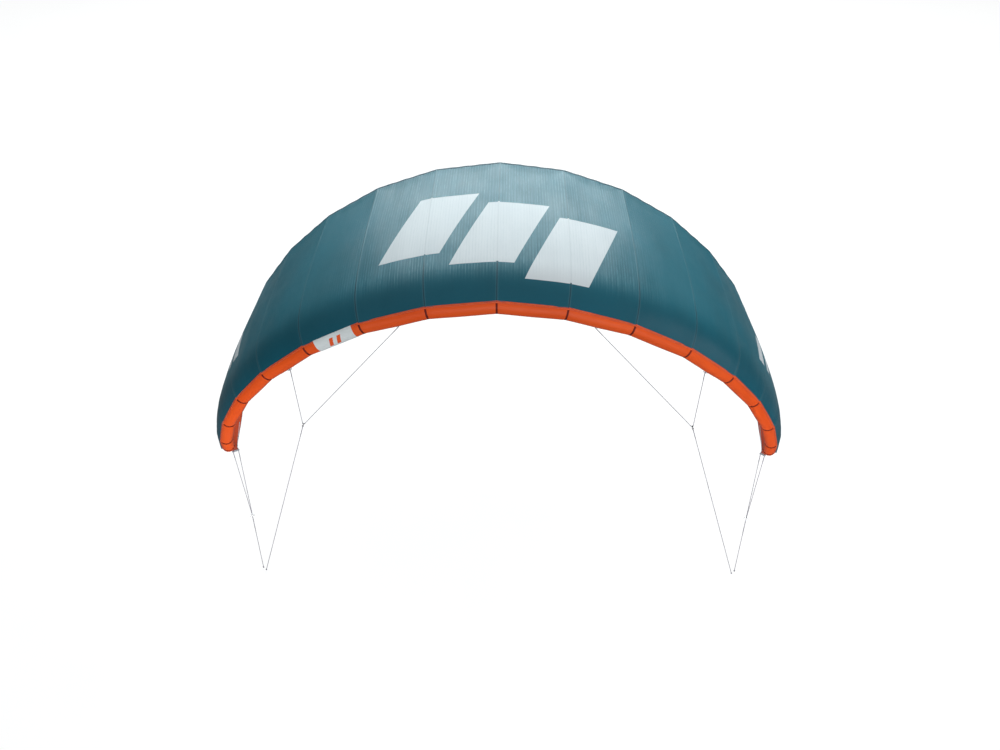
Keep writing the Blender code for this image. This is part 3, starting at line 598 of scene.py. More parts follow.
class Shader:
    """A node material built round a Principled BSDF."""

    def __init__(self, name, rough, metal=0.0, spec=0.5):
        self.material = bpy.data.materials.new(name)
        self.material.use_nodes = True
        self.tree = self.material.node_tree
        self.bsdf = self.tree.nodes["Principled BSDF"]
        self.set("Roughness", rough)
        self.set("Metallic", metal)
        self.set("Specular IOR Level", spec)

    def put(self, socket, value):
        if isinstance(value, Value):
            self.tree.links.new(value.socket, socket)
        elif isinstance(value, tuple) and len(value) == 3 and socket.type == "RGBA":
            socket.default_value = (*value, 1.0)
        else:
            socket.default_value = value

    def node(self, kind, output, inputs=(), **properties):
        """Make a node and return one output; inputs go by order or by name."""
        made = self.tree.nodes.new(kind)
        for key, value in properties.items():
            setattr(made, key, value)
        pairs = inputs.items() if isinstance(inputs, dict) else enumerate(inputs)
        for key, value in pairs:
            self.put(made.inputs[key], value)
        return Value(self, made.outputs[output])

    def set(self, name, value):
        self.put(self.bsdf.inputs[name], value)

    def mix(self, factor, first, second):
        """Blend of two colours."""
        return self.node("ShaderNodeMix", 2, {0: factor, 6: first, 7: second},
                         data_type="RGBA", blend_type="MIX")

    def uv_vector(self):
        return self.node("ShaderNodeUVMap", 0, uv_map="metres")

    def uv(self):
        """UV vector in metres, with its x and y."""
        vector = self.uv_vector()
        x = self.node("ShaderNodeSeparateXYZ", 0, (vector,))
        return vector, x, Value(self, x.socket.node.outputs[1])

    def object_vector(self):
        return self.node("ShaderNodeTexCoord", "Object")

    def bump(self, height, distance, strength):
        self.set("Normal", self.node("ShaderNodeBump", 0, {
            "Distance": distance, "Strength": strength, "Height": height}))


def srgb(*channels):
    """Linear colour from 0-255 sRGB channels."""
    def linear(c):
        c /= 255.0
        return c / 12.92 if c <= 0.04045 else ((c + 0.055) / 1.055) ** 2.4
    return tuple(linear(c) for c in channels)


def tint(colour, factor, lift=0.0):
    return tuple(min(1.0, c * factor + lift) for c in colour)


MID_TONES = (0.3, 0.7)      # the span that noise mostly fills

# ------------------------------------------------------------------ materials
TEAL = srgb(2, 95, 113)
TEAL_DEEP = srgb(0, 84, 100)
# painted shade colour for the nose of the canopy
TEAL_NOSE_SHADE = srgb(0, 66, 84)
TEAL_SEAM = srgb(12, 48, 62)
# pale teal of the chordwise streaks, also used for a painted highlight
TEAL_STREAK_AND_HIGHLIGHT = srgb(112, 172, 186)
TEAL_THREAD = srgb(120, 165, 175)
ORANGE = srgb(222, 80, 18)
ORANGE_DEEP = srgb(150, 38, 14)
ORANGE_GLOW = srgb(236, 114, 52)
SEAM_RED = srgb(96, 16, 6)
PALE = srgb(207, 214, 218)
STREAK_STRENGTH = 0.34

# printed bars: leaning x from and to, y from and to
MIDDLE_BARS = ((-0.76, -0.32, 0.52, 1.36), (-0.20, 0.24, 0.36, 1.20), (0.36, 0.80, 0.20, 1.04))
TIP_BARS = ((2.16, 2.26, 0.42, 0.80), (2.32, 2.38, 0.42, 0.80))


def chordwise_streaks(uv, x, y, from_middle):
    """Uneven pale streaks along the chord, strongest over the four middle panels."""
    patches = uv.noise(detail=1.0, stretch=(30.0, 0.9))
    breaks = uv.noise(rough=0.6, stretch=(120.0, 14.0))
    wander = uv.noise(detail=1.0, stretch=(9.0, 0.7)) * 0.012
    comb = (x + wander).stripes(period=0.0205, width=0.0062, soft=0.9)
    comb = comb * breaks.ease((0.34, 0.62), to=(0.25, 1.0))
    comb = comb * patches.ease((0.34, 0.60), to=(0.35, 1.0))
    fine = uv.noise(detail=1.0, stretch=(95.0, 2.2)).ease((0.50, 0.66), to=(0.0, 1.0)) * 0.35
    middle = (from_middle.ease((0.80, 1.30), to=(1.0, 0.16))
              * y.ease((0.14, 0.40), to=(0.0, 1.0)))
    return comb.max(fine) * middle


def printed_bars(x, y, from_middle):
    """Mask of the slanted, stepped bars."""
    lean = x - (y - 0.78) * 0.30
    tip_lean = from_middle + y * -0.25
    masks = [across.band(left, right, soft=0.0008) * y.band(low, high, soft=0.0008)
             for across, table in ((lean, MIDDLE_BARS), (tip_lean, TIP_BARS))
             for left, right, low, high in table]
    return reduce(Value.max, masks)


def canopy_material():
    """Ripstop sailcloth with streaks, printed bars, sewn seams, painted shade at the nose and in
    a hem zone, and a painted highlight beside the middle panels.
    """
    m = Shader("ripstop_sailcloth", rough=0.40, spec=0.19)
    uv, x, y = m.uv()
    from_middle = abs(x)
    tone = uv.noise(scale=2.2, detail=3.0, rough=0.55, stretch=(1.0, 0.6))
    base = m.mix(tone.ramp(MID_TONES, to=(0.0, 1.0)), TEAL_DEEP, TEAL)
    # painted shade: the cloth is darker towards the nose, where it turns away from the light
    # behind the tube
    base = m.mix(y.ease((0.02, 0.40), to=(0.62, 0.0)), base, TEAL_NOSE_SHADE)
    streak = chordwise_streaks(uv, x, y, from_middle)
    base = m.mix(streak * STREAK_STRENGTH, base, TEAL_STREAK_AND_HIGHLIGHT)
    # painted highlight: the next panels out are a little paler towards the trailing edge, fading
    # towards the tips, as the rear light's reflection would make them
    outer = (from_middle.ease((0.80, 1.30), to=(0.0, 1.0))
             * from_middle.ease((1.35, 2.10), to=(1.0, 0.0)))
    base = m.mix(outer * y.ease((0.12, 0.55), to=(0.0, 1.0)) * 0.13, base, TEAL_STREAK_AND_HIGHLIGHT)
    bars = printed_bars(x, y, from_middle)
    pale = m.mix(streak * 0.35, PALE, srgb(172, 186, 192))
    pale = m.mix(tone.ramp((0.35, 0.7), to=(0.0, 0.3)), pale, srgb(188, 198, 204))

    # darker line at every sewn seam, clearest over the nose
    near = reduce(Value.min, [abs(from_middle - float(span)) for span in SPAN[:-1]])
    seam = near.ease((0.0026, 0.0052), to=(1.0, 0.0))
    halo = near.ease((0.0052, 0.0150), to=(1.0, 0.0))
    strength = (y.ease((0.30, 0.55), to=(1.0, 0.42))
                * from_middle.ease((1.2, 1.9), to=(1.0, 0.6)))
    base = m.mix(halo * 0.10, base, TEAL_THREAD)
    base = m.mix(seam * strength * 0.85, base, TEAL_SEAM)
    pale = m.mix(seam * 0.16, pale, srgb(150, 160, 168))
    stitch = (y.stripes(period=0.0042, width=0.0026, soft=0.25)
              * near.band(0.0022, 0.0032, soft=0.0003))
    base = m.mix(stitch * 0.30, base, srgb(70, 116, 130))
    zone = m.node("ShaderNodeAttribute", "Fac", attribute_name="hem_painted_shade")
    # painted shade: the hem's scalloped fold is darker in the colour; its roughness rises there
    # too
    base = m.mix(zone * 0.22, base, srgb(20, 88, 100))

    ripstop = dict(period=0.0055, width=0.0006, soft=0.6)
    grid = x.stripes(**ripstop).max(y.stripes(**ripstop))
    m.set("Base Color", m.mix(grid * 0.10, m.mix(bars, base, pale), TEAL_THREAD))
    rough = uv.noise(detail=3.0, stretch=(6.0, 3.0)).ramp(MID_TONES, to=(0.36, 0.46))
    m.set("Roughness", rough + zone * 0.05 + bars * 0.08)
    crinkle = uv.noise(detail=4.0, rough=0.6, distortion=0.4, stretch=(22.0, 9.0))
    m.bump(grid * 0.25 + crinkle * 0.5 + streak * 0.30 + bars * 0.15 + stitch * 0.30,
           distance=0.0012, strength=0.35)
    return m.material


def tube_cloth_material(name, base=ORANGE, deep=ORANGE_DEEP, rough=0.46, glow=ORANGE_GLOW):
    """Tightly woven, lightly coated cloth, with painted shade where it turns away from the view.
    """
    m = Shader(name, rough=rough, spec=0.22)
    uv, x, y = m.uv()
    tone = uv.noise(detail=3.0, rough=0.55, stretch=(1.6, 5.0))
    broad = m.object_vector().noise(scale=1.3)
    colour = m.mix(tone.ramp((0.30, 0.75), to=(0.0, 0.28)), base, deep)
    colour = m.mix(broad.ramp((0.35, 0.7), to=(0.0, 0.16)), colour, glow)
    # warp and weft, about one thread a millimetre
    thread = dict(period=0.0011, width=0.0005, soft=0.8)
    weave = x.stripes(**thread) * 0.5 + y.stripes(**thread) * 0.5
    colour = m.mix(weave * 0.10, colour, deep)
    check = dict(period=0.010, width=0.0009, soft=0.6)
    grid = x.stripes(**check).max(y.stripes(**check))
    colour = m.mix(grid * 0.10, colour, glow)
    # painted shade: darker towards the silhouette, where the surface turns away from the view
    facing = m.node("ShaderNodeLayerWeight", "Facing", (0.5,))
    m.set("Base Color", m.mix(facing.ease((0.62, 0.98), to=(0.0, 0.75)), colour, deep))
    blotches = uv.noise(detail=3.0, stretch=(7.0, 7.0))
    m.set("Roughness", blotches.ramp(MID_TONES, to=(rough - 0.06, rough + 0.08)))
    m.set("Sheen Weight", 0.01)
    m.set("Sheen Roughness", 0.4)
    crinkle = uv.noise(detail=4.0, rough=0.6, distortion=0.3, stretch=(30.0, 14.0))
    m.bump(weave * 0.30 + crinkle * 0.8 + grid * 0.2, distance=0.0009, strength=0.40)
    return m.material


def tape_material(name, base, thread, rows, rough=0.55, pitch=0.0042):
    """Folded tape with rows of stitching; x runs along the tape, y across it."""
    m = Shader(name, rough=rough, spec=0.2)
    uv, x, y = m.uv()
    tone = uv.noise(detail=3.0, rough=0.6, stretch=(12.0, 60.0))
    dark = tint(base, 0.62)
    colour = m.mix(tone.ramp(MID_TONES, to=(0.0, 0.5)), base, dark)
    strand = dict(period=0.0009, width=0.0004, soft=0.8)
    weave = x.stripes(**strand) * y.stripes(**strand)
    colour = m.mix(weave * 0.25, colour, tint(base, 1.5, lift=0.02))
    dashes = x.stripes(period=pitch, width=pitch * 0.62, soft=0.25)
    half_stitch = 0.0011 / 2
    stitch = reduce(Value.max, [
        dashes * y.band(row - half_stitch, row + half_stitch, soft=0.0002) for row in rows])
    groove = reduce(Value.max, [
        y.band(row - 0.0009, row + 0.0009, soft=0.0005) for row in rows])
    # painted shade in the grooves along the stitch rows
    colour = m.mix(groove * 0.35, colour, dark)
    m.set("Base Color", m.mix(stitch, colour, thread))
    m.bump(stitch * 1.2 - groove * 0.8 + weave * 0.2 + tone * 0.5,
           distance=0.0005, strength=0.8)
    m.set("Roughness", tone.ramp(MID_TONES, to=(rough - 0.08, rough + 0.08)))
    return m.material


def webbing_material(name, base, light):
    """Woven strap with herringbone ribs across the width."""
    m = Shader(name, rough=0.7, spec=0.3)
    uv, x, y = m.uv()
    zigzag = abs((y + 10.0) % 0.004 - 0.002)
    rib_mask = (x + zigzag).stripes(period=0.0013, width=0.0007, soft=0.8)
    tone = uv.noise(detail=3.0, stretch=(60.0, 60.0))
    colour = m.mix(rib_mask * 0.55, base, light)
    m.set("Base Color", m.mix(tone.ramp(MID_TONES, to=(0.0, 0.35)), colour, tint(base, 0.6)))
    m.set("Roughness", tone.ramp(MID_TONES, to=(0.6, 0.8)))
    m.set("Sheen Weight", 0.2)
    m.bump(rib_mask + tone * 0.4, distance=0.0005, strength=0.8)
    return m.material


def braid_material(name, base, dark):
    """Braided line: crossing strands wound both ways."""
    m = Shader(name, rough=0.62, spec=0.35)
    uv, x, y = m.uv()
    strand = dict(period=0.0026, width=0.0018, soft=0.7)
    one_way = (x + y * 0.9).stripes(**strand)
    other_way = (x - y * 0.9).stripes(**strand)
    over = one_way.max(other_way)
    tone = uv.noise(stretch=(90.0, 200.0))
    colour = m.mix(over * 0.8, dark, base)
    m.set("Base Color", m.mix(tone.ramp((0.35, 0.7), to=(0.0, 0.25)), colour, dark))
    m.set("Roughness", tone.ramp(MID_TONES, to=(0.5, 0.7)))
    m.bump(over + one_way * other_way, distance=0.0004, strength=0.7)
    return m.material


def plastic_material(name, base, rough, light=None, clear=False):
    """Moulded plastic with a fine grain, paler on its edges; clear adds a coat."""
    m = Shader(name, rough=rough, spec=0.5)
    vector = m.object_vector()
    tone = vector.noise(scale=40.0, detail=3.0)
    light = light or tint(base, 1.8, lift=0.02)
    colour = m.mix(tone.ramp((0.35, 0.7), to=(0.0, 0.3)), base, light)
    edge = m.node("ShaderNodeNewGeometry", "Pointiness").ramp((0.52, 0.60), to=(0.0, 0.5))
    m.set("Base Color", m.mix(edge, colour, light))
    m.set("Roughness", tone.ramp(MID_TONES, to=(rough - 0.08, rough + 0.10)))
    m.bump(vector.noise(scale=900.0), distance=0.0002, strength=0.35)
    if clear:
        m.set("Coat Weight", 0.4)
        m.set("Coat Roughness", 0.15)
    return m.material


def steel_material():
    m = Shader("polished_ring_steel", rough=0.22, metal=1.0)
    lines = m.uv_vector().noise(detail=3.0, rough=0.6, stretch=(60.0, 2500.0))
    spots = m.object_vector().noise(scale=260.0, detail=3.0)
    m.set("Base Color", m.mix(spots.ramp((0.45, 0.75), to=(0.0, 0.6)),
                              srgb(196, 198, 202), srgb(150, 150, 154)))
    m.set("Roughness", lines.ramp(MID_TONES, to=(0.16, 0.34)))
    m.bump(lines, distance=0.0001, strength=0.3)
    return m.material


CANOPY_CLOTH = canopy_material()
TUBE_CLOTH = tube_cloth_material("polyester_tube_cloth")
STRUT_CLOTH = tube_cloth_material("polyester_strut_cloth", base=srgb(222, 84, 36))
PATCH_CLOTH = tube_cloth_material("orange_patch_cloth", base=srgb(224, 74, 22))
BAND_CLOTH = tube_cloth_material("white_band_cloth", base=srgb(205, 213, 215),
                                 deep=srgb(176, 184, 187), rough=0.5, glow=srgb(214, 220, 222))
TEAL_TAPE = tape_material("teal_seam_tape", base=srgb(8, 44, 58), thread=srgb(60, 104, 116),
                          rows=(-0.0030, 0.0030))
HEM_TAPE = tape_material("hem_tape", base=srgb(10, 58, 74), thread=srgb(90, 134, 146),
                         rows=(-0.0070, 0.0070))
RED_TAPE = tape_material("tube_seam_tape", base=SEAM_RED, thread=srgb(132, 36, 18),
                         rows=(-0.0045, 0.0045))
FLANGE_TAPE = tape_material("tube_flange_tape", base=srgb(206, 72, 30),
                            thread=srgb(240, 150, 110), rows=(-0.0040, 0.0040))
SEWN_PATCH = tape_material("sewn_patch_cloth", base=srgb(196, 66, 24),
                           thread=srgb(244, 168, 130), rows=(-0.036, -0.032, 0.032, 0.036))
WEBBING = webbing_material("pale_webbing", base=srgb(186, 186, 194), light=srgb(222, 222, 228))
LINE_BRAID = braid_material("grey_braided_line", base=srgb(146, 141, 156),
                            dark=srgb(94, 89, 104))
SLEEVE_BRAID = braid_material("dark_braided_sleeve", base=srgb(104, 102, 114),
                              dark=srgb(66, 64, 74))
STEEL = steel_material()
BLACK_PLASTIC = plastic_material("black_moulded_plastic", (0.020, 0.020, 0.022), rough=0.42)
GREY_PLASTIC = plastic_material("grey_moulded_plastic", (0.10, 0.105, 0.11), rough=0.40)
HOSE_PLASTIC = plastic_material("milky_hose_plastic", srgb(214, 218, 220), rough=0.28,
                                light=srgb(232, 235, 236), clear=True)
BLADDER_FILM = plastic_material("bladder_film", srgb(196, 202, 206), rough=0.30,
                                light=srgb(220, 224, 228), clear=True)

# ------------------------------------------------------------------ canopy
COLUMNS_PER_FULL_BAY = 24
CHORD_STEPS = np.linspace(0, 1, 85)
CHORD_SHARES = 0.22 * CHORD_STEPS + 0.78 * CHORD_STEPS ** 1.9   # closer together at the nose
TIP_EDGE = 7.985            # station coordinate just inside the canopy's end


def span_columns():
    """Station coordinates of the canopy's columns, closer together at the seams."""
    half = [0.0]
    for bay, width in enumerate(BAY_WIDTHS):
        count = max(8, int(round(COLUMNS_PER_FULL_BAY * width / FULL_BAY)))
        for i in range(1, count + 1):
            t = i / count
            half.append(bay + 0.72 * t + 0.28 * (0.5 - 0.5 * math.cos(math.pi * t)))
    return symmetric(half)


def make_canopy():
    station = span_columns()
    points = sheet(station[:, None], CHORD_SHARES[None, :])
    rows, cols = points.shape[:2]
    bay, across = bay_at(station)
    span = np.sign(station) * (SPAN[bay] + across * BAY_WIDTHS[bay])
    steps = np.linalg.norm(np.diff(points, axis=1), axis=2)
    back = np.concatenate([np.zeros((rows, 1)), np.cumsum(steps, axis=1)], 1)
    faces, uvs = quad_grid(rows, cols, lambda i, j, di, dj: (span[i + di], back[i + di, j + dj]),
                           wrap_cols=False)
    canopy = add_mesh("canopy", points.reshape(-1, 3), faces, uvs, "canopy_fabric",
                      CANOPY_CLOTH, face_out=None, sharp_angle=None)
    # scalloped zone that the hem's tension makes in every panel, where the canopy's colour paints
    # the shade of its fold
    arc = 0.030 + 0.115 * (4 * across * (1 - across) * BAY_WIDTHS[bay] / FULL_BAY)[:, None]
    zone = 1 - smooth(-0.010, 0.016, back[:, -1:] - back - arc)
    attribute = canopy.data.attributes.new("hem_painted_shade", "FLOAT", "POINT")
    attribute.data.foreach_set("value", zone.astype(np.float32).ravel())
    # the grid's faces look down
    canopy.data.flip_normals()
    cloth = canopy.modifiers.new("cloth", "SOLIDIFY")
    cloth.thickness = 0.0005
    cloth.offset = 0.0
    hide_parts(*["canopy_panel_%d_%s" % (i, tag) for i in range(1, 7) for tag in "LR"])


def seam_strip(part, station, half_width, low, high):
    """Tape along the rib line of a whole station."""
    share = 0.004 + 0.994 * np.linspace(0, 1, 90) ** 1.5
    offsets = np.linspace(-half_width, half_width, 5)
    stations = np.array([offset_station(station, offset) for offset in offsets])
    points = sheet(stations[None, :], share[:, None])
    normals = sheet_normal(np.full((1, 5), float(station)), share[:, None])
    x = (1.0 if station >= 0 else -1.0) * SPAN[abs(station)] + offsets
    length = run_length(points[:, 2])
    part.slab(points, normals, low, high,
              uv=np.stack(np.broadcast_arrays(x[None, :], length[:, None]), -1))


def make_canopy_seams():
    outer, inner = Part(), Part()
    for station in range(-(BAYS - 1), BAYS):
        # wider over the struts
        seam_strip(outer, station, 0.0075 if station in (0, -2, 2) else 0.0055,
                   -0.0001, (0.0004, 0.0010, 0.0012, 0.0010, 0.0004))
        seam_strip(inner, station, 0.0055, -0.0011, 0.0001)
    outer.done("canopy_seams_outer", "canopy_fabric", CANOPY_CLOTH, face_out=face_out_by_shell)
    inner.done("canopy_seams_inner", "canopy_fabric", TEAL_TAPE, face_out=face_out_by_shell)


def make_hem():
    """Folded tape on both faces of the trailing edge."""
    station = span_columns()[2:-2]
    length = RIB_LENGTH[np.minimum(np.abs(station).astype(int), BAYS - 1)]
    share = 1.0 - np.linspace(0.022, -0.0008, 6)[None, :] / length[:, None]
    points = sheet(station[:, None], np.minimum(share, 1.0))
    normals = sheet_normal(station[:, None], np.minimum(share, 0.996))
    part = Part()
    part.slab(points, normals, 0.0001, 0.0009)
    part.slab(points, normals, -0.0009, -0.0001)
    part.done("trailing_edge_hem", "canopy_fabric", HEM_TAPE, face_out=None)


make_canopy()
make_canopy_seams()
make_hem()

# ------------------------------------------------------------------ leading-edge tube
TUBE_SIDES = 96
SEAM_MARKS = (0.004, 0.009, 0.016, 0.026, 0.040, 0.060)     # extra rings beside each seam
CAP_LENGTH = 0.037
CAP_MARKS = (0.004, 0.009, 0.014, 0.019, 0.024, 0.028, 0.031, 0.0335, 0.0353, 0.0364)
CAP_TIP = 0.0368


def tube_stations():
    half = [0.0]
    for bay, width in enumerate(BAY_WIDTHS):
        marks = [mark / width for mark in SEAM_MARKS if mark / width < 0.4]
        middle = np.linspace(marks[-1], 1 - marks[-1], max(3, int(width / 0.035)))[1:-1]
        half += [bay + f for f in marks] + [bay + f for f in middle]
        half += [bay + 1 - f for f in marks] + [bay + 1.0]
    return symmetric(sorted(set(np.round(half, 6))))


def tube_cap(side):
    """Rings of the rounded end of the tube, and its tip."""
    along, ahead, up = bay_axes(BAYS - 1)
    angles = circle(TUBE_SIDES)
    rings = []
    for mark in CAP_MARKS:
        radius = TUBE_R[BAYS] * (1 - (mark / CAP_LENGTH) ** 2.6) ** (1 / 2.2)
        pucker = 0.0012 * np.sin(15 * angles) * math.exp(-((mark - 0.022) / 0.009) ** 2)
        radial = np.cos(angles)[:, None] * ahead + np.sin(angles)[:, None] * up
        rings.append(LEAD[BAYS] + along * mark + (radius + pucker)[:, None] * radial)
    return place(rings, side), place(LEAD[BAYS] + along * CAP_TIP, side)


def make_tube():
    station, angle = tube_stations()[:, None], circle(TUBE_SIDES)[None, :]
    (left_cap, left_tip), (right_cap, right_tip) = tube_cap(-1), tube_cap(1)
    rings = np.concatenate([left_cap[::-1], tube(station, angle, puff(station, angle)),
                            right_cap])
    rows, cols = rings.shape[:2]
    verts = np.concatenate([rings.reshape(-1, 3), left_tip[None], right_tip[None]])
    length = run_length(rings.mean(1))
    faces, uvs = quad_grid(
        rows, cols, lambda i, j, di, dj: (length[i + di], (j + dj) / cols * 0.44), ROW_FIRST)
    last = (rows - 1) * cols
    for j in range(cols):
        j2 = (j + 1) % cols
        faces += [(rows * cols, j, j2), (rows * cols + 1, last + j2, last + j)]
        uvs += [(u, v) for u in (length[0], length[-1]) for v in (0, 0.01, 0.02)]
    add_mesh("leading_edge_tube", verts, faces, uvs, "tube_fabric", TUBE_CLOTH,
             sharp_angle=None,
             replaces=["leading_edge_%d_%s" % (i, tag) for i in range(1, 6) for tag in "LR"])


def make_ring_seams():
    """Tape round the tube at every station."""
    angle = circle(TUBE_SIDES)[:, None]
    heights = np.array([-0.0018, -0.0009, -0.0006, -0.0009, -0.0018])
    offsets = np.array([-0.0072, -0.0060, 0.0, 0.0060, 0.0072])
    tip_offsets = np.array([-0.0130, -0.0115, -0.0066, -0.0015, -0.0001])
    part = Part()
    for station in range(-BAYS, BAYS + 1):
        at_tip = abs(station) == BAYS
        here = tip_offsets * np.sign(station) if at_tip else offsets
        stations = np.array([offset_station(station, offset) for offset in here])
        middle = station * 0.999 if at_tip else float(station)
        part.slab(tube(stations[None, :], angle), tube_normal(np.full((1, 5), middle), angle),
                  heights - 0.0014, heights + 0.0011, wrap=True)
    part.done("leading_edge_seams", "tube_fabric", RED_TAPE, face_out=face_out_by_shell)


FLANGE_HEIGHTS = np.array([0.0008, 0.0017, 0.0021, 0.0026, 0.0028, 0.0024])


def flange_band(station, offsets):
    """Band along the line where the canopy meets the tube."""
    return tube_band(station, interpolate(SEAM_ANGLE, station), offsets, hollows=False)


def make_long_seams():
    """Closing seam on the rear underside, and the flange that carries the canopy."""
    station = symmetric(bay_steps(pitch=0.02, least=6) + [BAYS])
    part = Part()
    part.slab(*tube_band(station, math.radians(-152), (-0.0055, -0.0042, 0.0, 0.0042, 0.0055)),
              -0.0028, (0.0006, 0.0014, 0.0016, 0.0014, 0.0006))
    part.done("leading_edge_closing_seam", "tube_fabric", FLANGE_TAPE)
    part = Part()
    part.slab(*flange_band(station, (-0.0125, -0.0110, -0.0060, -0.0010, 0.0030, 0.0060)),
              -0.0020, FLANGE_HEIGHTS)
    part.done("canopy_to_tube_flange", "tube_fabric", FLANGE_TAPE)


make_tube()
make_ring_seams()
make_long_seams()


# ------------------------------------------------------------------ bladders
def add_bladder(name, rings, uv_step, replaced):
    """Air bladder over rings of scene points; uv_step is (along, round)."""
    rows, cols = rings.shape[:2]
    along, around = uv_step
    verts = np.concatenate([rings.reshape(-1, 3), rings[0].mean(0)[None],
                            rings[-1].mean(0)[None]])
    faces, uvs = quad_grid(rows, cols, lambda i, j, di, dj: (i * along + di * along,
                                                             j * around + dj * around))
    cap_faces, cap_uvs = fan_caps(rows, cols, rows * cols, rows * cols + 1)
    add_mesh(name, verts, faces + cap_faces, uvs + cap_uvs, "bladder_film", BLADDER_FILM,
             replaces=[replaced])


# ------------------------------------------------------------------ struts
# label, station, side
STRUTS = (("centre", 0, 1), ("left", 2, -1), ("right", 2, 1))
STRUT_FRONT_R, STRUT_TAIL_R = 0.046, 0.028
STRUT_BLEND_END = 0.32      # y where the strut has reached its place under the canopy
STRUT_SIDES = 48
TAPE_OFFSETS = np.array([-0.0050, -0.0038, 0.0, 0.0038, 0.0050])
TAPE_HEIGHTS = (0.0005, 0.0012, 0.0014, 0.0012, 0.0005)


def strut_radius(station, y):
    share = (y - TUBE_R[station]) / (CHORD[station] - TUBE_R[station])
    return STRUT_FRONT_R + (STRUT_TAIL_R - STRUT_FRONT_R) * share


def strut_point(station, y):
    """Strut axis at y behind the tube's axis, and the rib point over it."""
    share = (LEAD[station][1] + y - SEAM[station][1]) / (TRAIL[station][1] - SEAM[station][1])
    over = rib(station, share)
    offset = over - LEAD[station]
    high = float(offset @ UP[station]) - strut_radius(station, y) - 0.0065
    if y < STRUT_BLEND_END:
        blend = smooth(TUBE_R[station], STRUT_BLEND_END, y)
        high = 0.030 * (1 - blend) + high * blend
    axis = (LEAD[station] + vec(0, y, 0) + UP[station] * high
            + OUT[station] * float(offset @ OUT[station]))
    return axis, over


